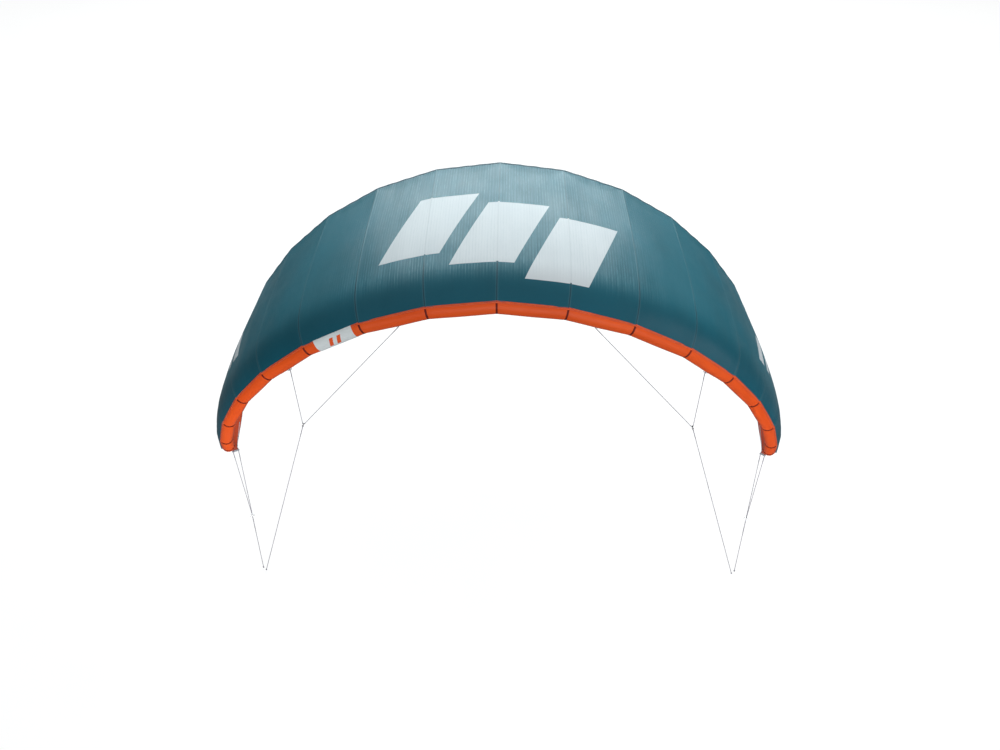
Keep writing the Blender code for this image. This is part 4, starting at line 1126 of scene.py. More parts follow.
class Strut:
    """Shape of one strut, on the + side, and its pieces."""

    def __init__(self, label, station, side):
        self.label, self.station, self.side = label, station, side
        front, tail = TUBE_R[station] + 0.004, CHORD[station] - 0.05
        places = front + (tail - front) * np.linspace(0, 1, 70) ** 1.15
        self.axis, self.ribs = (np.array(points) for points in
                                zip(*[strut_point(station, y) for y in places]))
        self.radius = np.array([strut_radius(station, y) for y in places])
        self.along = unit(np.gradient(self.axis, axis=0))
        self.out = unit(OUT[station][None] - self.along * (self.along @ OUT[station])[:, None])
        self.up = np.cross(self.out, self.along)
        self.up *= np.sign(self.up @ UP[station])[:, None]
        self.radial = self.directions(circle(STRUT_SIDES)[None, :])

    def directions(self, angles):
        """Radial directions at angles of shape (axis points or 1, count)."""
        return (np.cos(angles)[..., None] * self.out[:, None]
                + np.sin(angles)[..., None] * self.up[:, None])

    def skin(self, height=0.0):
        return self.axis[:, None] + (self.radius + height)[:, None, None] * self.radial

    def slab(self, part, points, normals, low, high, **options):
        part.slab(place(points, self.side), mirror(normals, self.side), low, high, **options)

    def make_casing(self):
        axis, radial = self.axis, self.radial
        length = run_length(axis)
        angles, along = circle(STRUT_SIDES)[None], length[:, None]
        ripple = 0.0007 * np.sin(7 * angles + along * 9.0) * np.exp(-along / 0.25)
        ripple = ripple + 0.0005 * np.sin(9 * angles - along * 14.0)
        rings = [self.skin() + radial * ripple[..., None]]
        # rounded tail: distance back and share of the radius
        tail = unit(axis[-1] - axis[-2])
        for back, share in ((0.004, 0.985), (0.008, 0.93), (0.0115, 0.82), (0.0140, 0.64),
                            (0.0155, 0.42), (0.0162, 0.2)):
            rings.append((axis[-1] + tail * back + self.radius[-1] * share * radial[-1])[None])
        rings = np.concatenate(rings)
        rows, cols = rings.shape[:2]
        verts = np.concatenate([rings.reshape(-1, 3), (axis[-1] + tail * 0.0165)[None],
                                axis[:1]])
        tail_length = length[-1] + np.array([0.004, 0.010, 0.016, 0.022, 0.030, 0.036])
        length = np.concatenate([length, tail_length])
        faces, uvs = quad_grid(
            rows, cols, lambda i, j, di, dj: (length[i + di], (j + dj) / cols * 0.24))
        cap_faces, cap_uvs = fan_caps(rows, cols, rows * cols + 1, rows * cols, length[-1])
        add_mesh("strut_%s_casing" % self.label, place(verts, self.side), faces + cap_faces,
                 uvs + cap_uvs, "tube_fabric", STRUT_CLOTH, replaces=["strut_" + self.label])

    def make_seams(self):
        """Tapes along both sides, and a ring of tape near each end."""
        part = Part()
        radius = self.radius[:, None]
        for degrees in (-38, 218):
            normals = self.directions(math.radians(degrees) + TAPE_OFFSETS[None, :] / radius)
            points = self.axis[:, None] + radius[..., None] * normals
            self.slab(part, points[7:], normals[7:], -0.0010, TAPE_HEIGHTS)
        for i in (9, 64):
            radial = self.radial[i][:, None]
            points = (self.axis[i] + TAPE_OFFSETS[None, :, None] * self.along[i]
                      + self.radius[i] * radial)
            self.slab(part, points, np.repeat(radial, 5, 1), -0.0010, TAPE_HEIGHTS, wrap=True)
        part.done("strut_%s_seams" % self.label, "tube_fabric", RED_TAPE,
                  face_out=face_out_by_shell)

    def make_bladder(self):
        body = self.skin(-0.0046)[1:-1:2]
        radial = body - self.axis[1:-1:2][:, None]

        def end_rings(i, section, table):
            """Closing rings: distance along the axis and share of the radius."""
            return [(self.axis[i] + self.along[i] * x + section * share)[None]
                    for x, share in table]

        front = end_rings(1, radial[0], ((-0.004, 0.30), (-0.003, 0.72), (-0.001, 0.93)))
        back = end_rings(-2, radial[-1], ((0.004, 0.93), (0.008, 0.72), (0.010, 0.30)))
        add_bladder("strut_%s_bladder_film" % self.label,
                    place(np.concatenate(front + [body] + back), self.side),
                    (0.02, 0.004), "strut_bladder_" + self.label)

    def make_web(self):
        """Cloth between the strut and the canopy."""
        use = slice(1, 68)
        low = (self.axis + self.up * (self.radius - 0.002)[:, None])[use]
        high = (self.ribs - UP[self.station] * 0.0002)[use]
        points = np.stack([low + (high - low) * t for t in (0.0, 0.33, 0.66, 1.0)], 1)
        part = Part()
        self.slab(part, points, np.repeat(self.out[use][:, None], 4, 1), -0.0006, 0.0006)
        part.done("strut_%s_web" % self.label, "canopy_fabric", TEAL_TAPE)

    def make_cuff(self):
        """Cuff that spreads on to the leading-edge tube."""
        lead, tube_radius = LEAD[self.station], TUBE_R[self.station]
        up, out = UP[self.station], OUT[self.station]
        base, spread, angles = 6, 1.30, circle(STRUT_SIDES)
        radius = self.radius[base] + 0.0012
        start = self.axis[base] + radius * self.radial[base]
        height = float((self.axis[0] - lead) @ up) + radius * np.sin(angles) * spread
        height = np.clip(height, -tube_radius * 0.93, tube_radius * 0.93)
        back = np.sqrt((tube_radius + 0.0016) ** 2 - height ** 2)
        end = (lead + Y_AXIS * back[:, None] + up * height[:, None]
               + out * (radius * np.cos(angles) * spread)[:, None])
        bend = start.copy()
        bend[:, 1] = end[:, 1] * 0.72 + start[:, 1] * 0.28
        t = np.linspace(0, 1, 12)[None, :, None]
        points = ((1 - t) ** 2 * start[:, None] + 2 * t * (1 - t) * bend[:, None]
                  + t * t * end[:, None])
        normals = unit(np.cross(np.roll(points, -1, 0) - np.roll(points, 1, 0),
                                np.gradient(points, axis=1)))
        outwards = np.einsum("ijk,ijk->ij", normals, points - points.mean(0)[None])
        normals = unit(normals * np.sign(outwards).mean())
        part = Part()
        self.slab(part, points, normals, -0.0004, 0.0009, wrap=True)
        part.done("strut_%s_cuff" % self.label, "tube_fabric", PATCH_CLOTH)


for entry in STRUTS:
    strut = Strut(*entry)
    strut.make_casing()
    strut.make_seams()
    strut.make_bladder()
    strut.make_web()
    strut.make_cuff()


# ------------------------------------------------------------------ white band, left tube
def make_band():
    """White band round the left of the tube, with two orange bars."""
    station = np.linspace(-2.80, -2.13, 36)
    angle = np.radians(np.concatenate([np.linspace(-128, 28, 56), np.linspace(30, 50.5, 14)]))
    rise = 0.0019 * smooth(math.radians(30), math.radians(37), angle)
    part = Part()
    part.slab(*tube_grid(station[:, None], angle[None, :], 0.0013 + rise[None, :]),
              -0.0012, 0.0007)
    # it runs on over the flange that carries the canopy
    part.slab(*flange_band(station, (-0.0130, -0.0110, -0.0060, -0.0010, 0.0030, 0.0062)),
              FLANGE_HEIGHTS - 0.0004, FLANGE_HEIGHTS + 0.0008)
    part.done("band_panel", "tube_fabric", BAND_CLOTH)

    part = Part()
    angle = np.radians(np.linspace(-26, 30, 20))[None, :]
    lean = np.linspace(-0.03, 0.03, 20)[None, :]
    for start, end in ((-2.565, -2.500), (-2.430, -2.365)):
        station = np.linspace(start, end, 6)[:, None] + lean
        part.slab(*tube_grid(station, angle, 0.0018), -0.0006, 0.0006)
    part.done("band_bars", "tube_fabric", STRUT_CLOTH)


def make_tip_patches():
    """Orange lining inside both wingtips."""
    columns = span_columns()
    half = np.concatenate([columns[(columns > 6.3) & (columns < 7.98)], [TIP_EDGE]])
    share = CHORD_SHARES[(CHORD_SHARES > 0.012) & (CHORD_SHARES < 0.986)][None, :]
    for side, tag in SIDES:
        station = side * half[:, None]
        part = Part()
        part.slab(sheet(station, share), sheet_normal(station, share), -0.0020, -0.0007)
        part.done("wingtip_inner_patch_" + tag, "tube_fabric", PATCH_CLOTH)


make_band()
make_tip_patches()

# ------------------------------------------------------------------ bridle
LINE_R = 0.00225
SPLICE_EXTRA = 0.0007       # a line is thicker where its end is buried inside it
EYE_R = 0.0060
RING_R, RING_WIRE_R = 0.014, 0.0030
BEND_R = 0.0065             # bend of the V line inside the ring
KNOT_LENGTH, KNOT_TURNS = 0.016, 2.75
BAR_HALF = 0.016            # half the width of a webbing loop
TAB_DROP = 0.022            # loop below the tube
GATHER, APART = vec(1.954, 0.300, -3.061), vec(0.012, 0.012, 0.0)
FRONT_END, REAR_END = GATHER - APART, GATHER + APART
# each V's point lies on a line: its place at y = 0, and its change with y
FRONT_GUIDE = (vec(1.463, 0, -1.163), vec(0.150, 1, -0.897))
REAR_GUIDE = (vec(1.945, 0, -2.125), vec(0.200, 1, -0.990))
FRONT_TABS = (1.55, 3.60)   # station coordinates of the loops
# webbing loop, from the end of its lap on the tube to its bar
LAP_REACH = (0.034, 0.026, 0.018, 0.010, 0.004)
LOOP_HALF_WIDTH = [0.0065] * 5 + [0.0062, 0.0052, 0.0040, 0.0030, 0.0027, 0.0026]
LOOP_HALF_THICK = [0.0011] * 5 + [0.0012, 0.0015, 0.0019, 0.0023, 0.0025, 0.0025]
BAR_R = 0.0025

# object names by kind: the V line, its ring and the line below it
BRIDLE_NAMES = {"front": ("front_bridle", "front_ring", "front_line"),
                "rear": ("tip_bridle", "tip_ring", "rear_line")}


def tube_gap(point):
    """Least distance from a point to the tube's skin, and the station coordinate there."""
    best, station = 1e9, None
    for bay in range(BAYS):
        offset = point - LEAD[bay]
        share = min(1.0, max(0.0, float(offset @ BAY_DIR[bay]) / BAY_WIDTHS[bay]))
        radius = TUBE_R[bay] + (TUBE_R[bay + 1] - TUBE_R[bay]) * share
        gap = float(np.linalg.norm(offset - BAY_DIR[bay] * share * BAY_WIDTHS[bay])) - radius
        if gap < best:
            best, station = gap, bay + share
    return best, station


def tube_angle(point, station):
    """Angle on the tube of a point near it."""
    bay, across = bay_at(station)
    _, ahead, up = bay_axes(bay)
    offset = point - (LEAD[bay] + BAY_DIR[bay] * across * BAY_WIDTHS[bay])
    return math.atan2(float(offset @ up), float(offset @ ahead))


def v_point(start, end, below, guide):
    """Point of the guide line in the plane of the other three points."""
    normal = np.cross(end - start, below - start)
    origin, direction = guide
    return origin + direction * float(normal @ (start - origin) / (normal @ direction))


def hang_direction(start, end, apex):
    """Bar direction and the direction square to it towards the apex."""
    bar = unit(end - start)
    return bar, unit((apex - start) - bar * float((apex - start) @ bar))


def v_bend(start, end, apex, down, across, steps=8):
    """Rounded bend of the V line inside the ring."""
    centre = apex - down * BEND_R
    bottom = math.pi / 2

    def touch(point, sign):
        """Angle where the line from the point meets the bend, nearest the bottom."""
        x, y = float((point - centre) @ across), float((point - centre) @ down)
        base, half = math.atan2(y, x), math.acos(BEND_R / math.hypot(x, y))
        angle = max((base + half, base - half), key=lambda q: sign * math.cos(q))
        return bottom + math.remainder(angle - bottom, 2 * math.pi)

    sign = 1 if float((start - centre) @ across) > float((end - centre) @ across) else -1
    angles = np.concatenate([
        np.linspace(touch(start, sign), bottom, steps, endpoint=False),
        np.linspace(bottom, touch(end, -sign), steps + 1)])[:, None]
    return centre + across * BEND_R * np.cos(angles) + down * BEND_R * np.sin(angles)


def spliced(start, end, least, fade_start, fade_end, fade_share, extra_points=0):
    """Straight line and its radii, thicker up to the fade."""
    length = float(np.linalg.norm(end - start))
    distance = np.linspace(0, length, max(least, int(length / 0.02)) + extra_points)
    buried = 1 - smooth(fade_start, min(fade_end, length * fade_share), distance)
    radius = LINE_R + SPLICE_EXTRA * buried * smooth(-0.002, 0.010, distance)
    return start + (end - start) * (distance / length)[:, None], radius


def add_whipping(part, start, direction, places, side):
    """Short bands of thread that lock a splice."""
    radii = LINE_R + np.array([0.0006, 0.00115, 0.0012, 0.00115, 0.0006])
    for place_along in places:
        distance = place_along + np.linspace(0, 0.006, 5)
        part.pipe(place(start + direction * distance[:, None], side), radii, 14)


def add_knot(part, knot, down, side):
    """Stopper knot: wraps laid round the line, and their short tail."""
    first = unit(X_AXIS - down * float(down[0]))
    second = np.cross(down, first)

    def coil(height, radius, angle, thickness):
        points = (knot + down * height[:, None] + first * (radius * np.cos(angle))[:, None]
                  + second * (radius * np.sin(angle))[:, None])
        part.pipe(place(points, side), thickness, 10)

    wrapped = 2 * math.pi * KNOT_TURNS
    t = np.linspace(0, 1, 67)
    coil(0.0020 + 0.0108 * t, 0.0035 - 0.0006 * abs(2 * t - 1) ** 3, wrapped * t, 0.0021)
    t = np.linspace(0, 1, 25)
    coil(0.0128 + 0.0008 * np.sin(math.pi * t), 0.0029 * (1 - t) + 0.0012 * t,
         wrapped + math.pi * 0.8 * t, 0.0020)
    heights = np.array([0.0015, 0.006, 0.012, 0.0152, KNOT_LENGTH - 0.0001])
    part.pipe(place(knot + down * heights[:, None], side),
              [0.0022, 0.0022, 0.0022, 0.0022, 0.0019])


def make_v_line(side, tag, name, start, end, bend, bar, hang):
    """V line with an eye at each end, and its whippings and sleeve."""
    tops = [start + hang * EYE_R, end + hang * EYE_R]
    feet = [bend[0], bend[-1]]
    (leg_a, radius_a), (leg_b, radius_b) = (
        spliced(top, foot, least=20, fade_start=0.06, fade_end=0.10, fade_share=0.4,
                extra_points=1) for top, foot in zip(tops, feet))
    part = Part()
    part.pipe(place(np.concatenate([leg_a[:-1], bend, leg_b[::-1][1:]]), side),
              np.concatenate([radius_a[:-1], [LINE_R] * len(bend), radius_b[::-1][1:]]))
    for centre in (start, end):
        part.ring(place(centre, side), mirror(bar, side), EYE_R, LINE_R, 36, 12)
    body = name + "_" + tag
    part.done(name + "_line_" + tag, "bridle_line", LINE_BRAID, body=body, replaces=[body])

    part = Part()
    directions = [unit(foot - top) for top, foot in zip(tops, feet)]
    for top, direction in zip(tops, directions):
        add_whipping(part, top, direction, (0.010, 0.050), side)
    # sleeve round the bend, reaching a little way up both legs
    reach = np.array([0.016, 0.011, 0.006])[:, None]
    sleeve = np.concatenate([bend[0] - directions[0] * reach, bend,
                             bend[-1] - directions[1] * reach[::-1]])
    part.pipe(place(sleeve, side), LINE_R + 0.0005, 14)
    part.done(name + "_sleeves_" + tag, "bridle_line", SLEEVE_BRAID, body=body)


def make_bridle(side, tag, kind, start, end, apex, bottom):
    """V line between two bars, the ring in its bend and the line down from the ring."""
    v_name, ring_name, line_name = BRIDLE_NAMES[kind]
    bar, hang = hang_direction(start, end, apex)
    down = unit(bottom - apex)
    across = unit(bar - down * float(bar @ down))
    make_v_line(side, tag, v_name, start, end, v_bend(start, end, apex, down, across),
                bar, hang)

    middle = apex - down * BEND_R + down * RING_R
    part = Part()
    part.ring(place(middle, side), mirror(across, side), RING_R, RING_WIRE_R, 64, 18)
    body = ring_name + "_" + tag
    part.done(ring_name + "_steel_" + tag, "ring_steel", STEEL, body=body, replaces=[body])

    low = middle + down * RING_R
    knot = bottom - down * KNOT_LENGTH
    line_top, line_end = low + down * EYE_R, knot + down * 0.002
    part = Part()
    points, radius = spliced(line_top, line_end, least=24, fade_start=0.09, fade_end=0.14,
                             fade_share=0.5)
    part.pipe(place(points, side), radius)
    part.ring(place(low, side), mirror(np.cross(across, down), side), EYE_R, LINE_R, 36, 12)
    add_knot(part, knot, down, side)
    body = line_name + "_" + tag
    part.done(line_name + "_braid_" + tag, "bridle_line", LINE_BRAID, body=body,
              replaces=[body])
    part = Part()
    add_whipping(part, line_top, unit(line_end - line_top), (0.010, 0.080), side)
    part.done(line_name + "_whipping_" + tag, "bridle_line", SLEEVE_BRAID, body=body)


def add_tube_patch(part, station, angle, half_length, half_width, height, side):
    """Patch with rounded corners on the tube."""
    bay, _ = bay_at(station)
    along, around = np.meshgrid(np.linspace(-1, 1, 22), np.linspace(-1, 1, 16), indexing="ij")
    # the square grid drawn in towards rounded corners
    x = along * np.sqrt(1 - 0.30 * around ** 2 * np.abs(along) ** 3) * half_length
    y = around * np.sqrt(1 - 0.30 * along ** 2 * np.abs(around) ** 3) * half_width
    stations = (station + x / BAY_WIDTHS[bay]) * side
    angles = angle + y / interpolate(TUBE_R, station)
    part.slab(*tube_grid(stations, angles, puff(stations, angles)), -0.0006, height,
              uv=np.stack([x, y], -1))


def loop_half(centre, bar, hang, sign):
    """Half of a webbing loop from its lap on the tube to its bar, and its foot."""
    corner = centre + bar * (sign * BAR_HALF)
    rise = 0.0
    while tube_gap(corner - hang * rise)[0] > 0.0012:
        rise += 0.0001
    foot = corner - hang * rise
    _, station = tube_gap(foot)
    angle = tube_angle(foot, station)
    bay, _ = bay_at(station)
    lap = [tube(station + sign * reach / BAY_WIDTHS[bay], angle, 0.0030) - ORIGIN
           for reach in LAP_REACH]
    leg = [foot + hang * x for x in (0.004, 0.010, 0.016)]
    inwards = bar * -sign
    turn = [corner - hang * 0.0035, corner - hang * 0.0008 + inwards * 0.0008,
            corner + inwards * 0.0035]
    return lap + leg + turn, foot


def make_tab(side, tag, name, centre, bar, hang):
    """Webbing loop under the tube and the patch that it is sewn on."""
    left, left_foot = loop_half(centre, bar, hang, -1)
    right, right_foot = loop_half(centre, bar, hang, 1)
    path = left + [centre - bar * 0.006, centre, centre + bar * 0.006] + right[::-1]
    part = Part()
    part.strap(place(path, side), LOOP_HALF_WIDTH + [BAR_R] * 3 + LOOP_HALF_WIDTH[::-1],
               LOOP_HALF_THICK + [BAR_R] * 3 + LOOP_HALF_THICK[::-1],
               mirror(unit(np.cross(bar, hang)), side))
    part.done("bridle_loop_%s_%s" % (name, tag), "webbing", WEBBING,
              replaces=["bridle_tab_%s_%s" % (name, tag)])
    middle = (left_foot + right_foot) / 2
    _, station = tube_gap(middle)
    part = Part()
    add_tube_patch(part, station, tube_angle(middle, station), half_length=0.078,
                   half_width=0.040, height=0.0012, side=side)
    part.done("bridle_patch_%s_%s" % (name, tag), "tube_fabric", SEWN_PATCH)


def make_front_bridles():
    anchors = [interpolate(LEAD, station) for station in FRONT_TABS]
    drops = [interpolate(TUBE_R, station) + TAB_DROP for station in FRONT_TABS]
    tabs = anchors
    # the tabs hang in the plane of the V, which depends on the tabs: settle by repetition
    for _ in range(8):
        apex = v_point(*tabs, FRONT_END, FRONT_GUIDE)
        bar, hang = hang_direction(*tabs, apex)
        tabs = [anchor + hang * drop for anchor, drop in zip(anchors, drops)]
    for side, tag in SIDES:
        make_bridle(side, tag, "front", *tabs, apex, FRONT_END)
        for name, centre in zip(("inner", "outer"), tabs):
            make_tab(side, tag, name, centre, bar, hang)


def make_tip_web(side, tag, start, end):
    """Cloth between the canopy's end and the strap, cut back round both loops."""
    t = np.linspace(0, 1, 48)
    edge = sheet(side * TIP_EDGE, 0.075 + 0.895 * t)
    low = place(start + (end - start) * (0.045 + 0.925 * t)[:, None], side)
    reach = ((0.45 + 0.55 * smooth(0.0, 0.10, t))
             * (0.45 + 0.55 * smooth(0.0, 0.06, 1 - t)))
    drop = np.linspace(0, 1, 10)
    points = edge[:, None] + (low - edge)[:, None] * (reach[:, None] * drop)[..., None]
    normals = unit(np.cross(np.gradient(points, axis=0), np.gradient(points, axis=1)))
    if float(normals[24, 5] @ sheet_normal(side * 7.9, 0.5)) < 0:
        normals = -normals
    # the UVs lie beyond the canopy's printed bars and seams
    uv = np.stack(np.meshgrid(run_length(points[:, 0]) + 10.0, 1.0 + 0.06 * drop,
                              indexing="ij"), -1)
    for name, low_height, high_height, slot, material in (
            ("outer", -0.0005, 0.0006, "canopy_fabric", CANOPY_CLOTH),
            ("inner", -0.0016, -0.0005, "tube_fabric", PATCH_CLOTH)):
        part = Part()
        part.slab(points, normals, low_height, high_height, uv=uv)
        part.done("wingtip_web_%s_%s" % (name, tag), slot, material)


# canopy corner that is sewn to the strap's tail: station coordinate, share of the chord
TIP_CORNER = ((7.68, 0.909), (7.76, 0.926), (7.83, 0.944), (7.90, 0.962), (7.965, 0.984))


def make_tip_strap(side, tag, start, end, bar):
    """Webbing from the end of the tube to the canopy's rear corner."""
    top = LEAD[BAYS] + vec(-0.018, 0.0, -0.041)
    tail = TRAIL[BAYS] + vec(-0.004, 0.004, -0.006)
    bar_in, bar_out = start + bar * 0.012, end - bar * 0.012
    front = spline([top + vec(0.006, 0.0, 0.018), top, start - bar * 0.026,
                    start - bar * 0.010, bar_in], 5)
    middle = [bar_in + (bar_out - bar_in) * i / 22 for i in range(1, 22)]
    rear = spline([bar_out, end, end + bar * 0.018, tail], 5)
    path = np.concatenate([front, middle, rear])
    # round where the eyes sit, flat elsewhere
    flat = smooth(0.008, 0.030, np.minimum(np.linalg.norm(path - start, axis=1),
                                           np.linalg.norm(path - end, axis=1)))
    run = unit(np.gradient(path, axis=0))
    width_dir = unit(np.stack([0.0 * run[:, 0], run[:, 2], -run[:, 1]], 1))
    part = Part()
    part.strap(place(path, side), BAR_R + 0.0040 * flat, BAR_R - 0.0013 * flat, width_dir)

    lead_in = [sheet(side * station, share) - sheet_normal(side * station, share) * 0.0030
               for station, share in TIP_CORNER]
    tail_point = place(tail, side)
    lead_in += [tail_point * 0.5 + lead_in[-1] * 0.5, tail_point,
                place(end + bar * 0.018, side)]
    lead_in = spline(lead_in, 4)
    part.strap(lead_in, 0.0065, 0.0010, np.cross(unit(lead_in[4] - lead_in[0]),
                                                 sheet_normal(side * 7.9, 0.95)))
    part.done("wingtip_webbing_" + tag, "webbing", WEBBING,
              replaces=["wingtip_strap_" + tag])


def make_rear_bridles():
    start = LEAD[BAYS] + vec(-0.031, 0.000, -0.066)
    end = TRAIL[BAYS] + vec(-0.014, -0.022, -0.010)
    apex = v_point(start, end, REAR_END, REAR_GUIDE)
    for side, tag in SIDES:
        make_bridle(side, tag, "rear", start, end, apex, REAR_END)
        make_tip_web(side, tag, start, end)
        make_tip_strap(side, tag, start, end, unit(end - start))


make_front_bridles()
make_rear_bridles()

# ------------------------------------------------------------------ moulded shapes
Frame = namedtuple("Frame", "origin x y z")


def fillet(profile, radius, steps=4):
    """Closed (radius, height) outline with its corners rounded."""
    corners = [np.array(corner, float) for corner in profile]
    rounded = []
    for i, corner in enumerate(corners):
        before, after = corners[i - 1] - corner, corners[(i + 1) % len(corners)] - corner
        before_length, after_length = np.linalg.norm(before), np.linalg.norm(after)
        cut = min(radius, 0.42 * before_length, 0.42 * after_length)
        start = corner + before / before_length * cut
        end = corner + after / after_length * cut
        for t in np.linspace(0, 1, steps):
            rounded.append((1 - t) ** 2 * start + 2 * t * (1 - t) * corner + t * t * end)
    return np.array(rounded)


def turned(frame, radii, heights, angles):
    """Points turned about the frame's z axis, one row for each angle."""
    around = np.cos(angles)[:, None, None] * frame.x + np.sin(angles)[:, None, None] * frame.y
    return frame.origin + radii[..., None] * around + heights[None, :, None] * frame.z


def add_turned_ring(part, frame, profile, segments, edge=0.0006):
    """Closed profile of (radius, height) turned about the z axis."""
    outline = fillet(profile, edge)
    angles = circle(segments)
    length = run_length(outline)
    length = np.append(length, length[-1] + 0.001)
    part.add(turned(frame, outline[None, :, 0], outline[:, 1], angles), *quad_grid(
        segments, len(outline),
        lambda i, j, di, dj: (angles[i] * 0.012 + di * 0.0012, length[j + dj]),
        ROW_FIRST, wrap_rows=True))


def add_disc(part, frame, radius, low, high, segments, dish, flutes):
    """Round plate with a rounded, fluted rim and a dished outer face."""
    edge, flute_depth = 0.0007, 0.0005
    outline = [(0.0002, low), (radius * 0.5, low), (radius - edge, low)]
    for centre, angles in ((low + edge, np.linspace(-90, 0, 4)[1:]),
                           (high - edge, np.linspace(0, 90, 4))):
        outline += [(radius - edge + edge * math.cos(angle), centre + edge * math.sin(angle))
                    for angle in np.radians(angles)]
    outline += [(radius * share, high - (dish if share < 0.82 else 0.0))
                for share in (0.84, 0.80, 0.76, 0.5, 0.25)]
    outline = np.array(outline + [(0.0002, high - dish)])
    angles, cols = circle(segments), len(outline)
    wave = (0.5 + 0.5 * np.cos(flutes * angles))[:, None]
    radii = outline[None, :, 0] - np.where(outline[:, 0] > radius * 0.93,
                                           flute_depth, 0.0) * wave
    faces, uvs = quad_grid(
        segments, cols,
        lambda i, j, di, dj: (angles[i] * radius + di * 0.001, outline[j + dj, 0]),
        ROW_FIRST, wrap_rows=True, wrap_cols=False)
    faces += [tuple(i * cols for i in range(segments))[::-1],
              tuple(i * cols + cols - 1 for i in range(segments))]
    part.add(turned(frame, radii, outline[:, 1], angles), faces,
             uvs + [(0, 0)] * (2 * segments))


def add_box(part, frame, low, high, edge):
    """Box with rounded edges."""
    low, high = vec(*low), vec(*high)
    edge = min(edge, float((high - low).min()) * 0.45)
    steps = edge * np.linspace(0, 1, 4)
    for axis in range(3):
        u, v = (axis + 1) % 3, (axis + 2) % 3
        u_ticks, v_ticks = (np.concatenate([low[i] + steps, high[i] - steps[::-1]])
                            for i in (u, v))
        for face_place in (low[axis], high[axis]):
            verts = []
            for x in u_ticks:
                for y in v_ticks:
                    corner = np.zeros(3)
                    corner[axis], corner[u], corner[v] = face_place, x, y
                    core = np.clip(corner, low + edge, high - edge)
                    offset = corner - core
                    corner = core + offset / max(np.linalg.norm(offset), 1e-12) * edge
                    verts.append(frame.origin + corner[0] * frame.x + corner[1] * frame.y
                                 + corner[2] * frame.z)
            faces, uvs = quad_grid(len(u_ticks), len(v_ticks),
                                   lambda i, j, di, dj: (u_ticks[i], v_ticks[j]),
                                   ROW_FIRST, wrap_cols=False)
            if face_place == low[axis]:
                faces = [face[::-1] for face in faces]
            part.add(verts, faces, uvs)


def add_boxes(part, frame, table):
    for low, high, edge in table:
        add_box(part, frame, low, high, edge)


def add_rod(part, frame, x, z, half_length, radius, hole=0.00005):
    """Pin or hub along the frame's y axis."""
    centre = frame.origin + x * frame.x + z * frame.z
    add_turned_ring(part, Frame(centre, frame.z, frame.x, frame.y),
                    ((hole, -half_length), (radius, -half_length),
                     (radius, half_length), (hole, half_length)), 24, edge=0.0003)


# ------------------------------------------------------------------ hoses and clips
HOSE_R = 0.0070
CLIP_BACK = 0.0505          # clip behind the tube's skin
PIN_R, PIN_HOLE_R, HUB_R = 0.0015, 0.0020, 0.0032
CLIP_PIN_X, CLIP_PIN_Z = -0.0155, -0.0010
# boxes in the clip's frame: low corner, high corner, edge radius
CLIP_BASE_BOXES = (
    ((-0.018, -0.008, -0.0126), (0.013, 0.008, -0.0076), 0.0012),
    ((-0.018, 0.005, -0.0120), (-0.013, 0.008, 0.0025), 0.0010),
    ((-0.018, -0.008, -0.0120), (-0.013, -0.005, 0.0025), 0.0010))
CLIP_BASE_RIBS = tuple(((x - 0.0006, -0.0070, -0.0130), (x + 0.0006, 0.0070, -0.0120), 0.0003)
                       for x in (-0.008, -0.004, 0.0, 0.004, 0.008))
CLIP_JAW_BOXES = (
    ((-0.0175, -0.0044, 0.0015), (-0.0135, 0.0044, 0.0106), 0.0009),
    ((-0.0173, -0.0045, 0.0078), (0.0130, 0.0045, 0.0108), 0.0009),
    ((0.0102, -0.0043, -0.0065), (0.0128, 0.0043, 0.0090), 0.0009),
    *[((x - 0.0005, -0.0038, 0.0104), (x + 0.0005, 0.0038, 0.0112), 0.0003)
      for x in (-0.006, -0.003, 0.0, 0.003, 0.006)],
    ((0.0094, -0.0040, -0.0066), (0.0112, 0.0040, -0.0052), 0.0004))


def make_hose(label, station, side):
    """Hose from the tube to the strut, with a flange and a collar at both ends."""
    radius = TUBE_R[station]
    base, up = place(LEAD[station], side), mirror(UP[station], side)
    low = -(radius + 0.0205)
    strut_y = radius + 0.115
    strut_bottom = (float((strut_point(station, strut_y)[0] - LEAD[station]) @ UP[station])
                    - strut_radius(station, strut_y))
    leave = math.radians(50)
    # y and height from the tube's axis
    path = [((radius + 0.002) * math.cos(leave), -(radius + 0.002) * math.sin(leave)),
            ((radius + 0.022) * math.cos(leave), -(radius + 0.022) * math.sin(leave)),
            ((radius + 0.031) * math.cos(leave) + 0.004, low + 0.004),
            (radius + 0.020, low), (radius + 0.036, low), (radius + 0.066, low),
            (radius + 0.085, low), (radius + 0.104, low + 0.006),
            (radius + 0.113, low + 0.018), (strut_y, low + 0.034),
            (strut_y, strut_bottom - 0.0025)]
    points = np.array([base + vec(0, y, 0) + up * height for y, height in path])
    part = Part()
    part.pipe(spline(points, 9), HOSE_R, 28)
    part.done("inflation_hose_%s_pipe" % label, "hose_plastic", HOSE_PLASTIC,
              replaces=["inflation_hose_" + label])

    across = unit(np.cross(Y_AXIS, up))
    part = Part()
    for end, away, foot in ((points[0], unit(points[1] - points[0]), -0.0012),
                            (points[-1], -unit(points[-1] - points[-2]), -0.0006)):
        frame = Frame(end, across, np.cross(away, across), away)
        add_turned_ring(part, frame, (
            (0.0066, foot), (0.0175, foot), (0.0170, foot + 0.0012), (0.0092, foot + 0.0022),
            (0.0086, foot + 0.0100), (0.0066, foot + 0.0100)), 56)
        for height in (0.0042, 0.0066):
            part.ring(end + away * height, away, 0.0088, 0.0007, 48, 8)
    part.done("inflation_hose_%s_flanges" % label, "hose_plastic", GREY_PLASTIC)
    make_clip(label, Frame(base + vec(0, radius + CLIP_BACK, 0) + up * low,
                           np.cross(Y_AXIS, up), Y_AXIS, up))


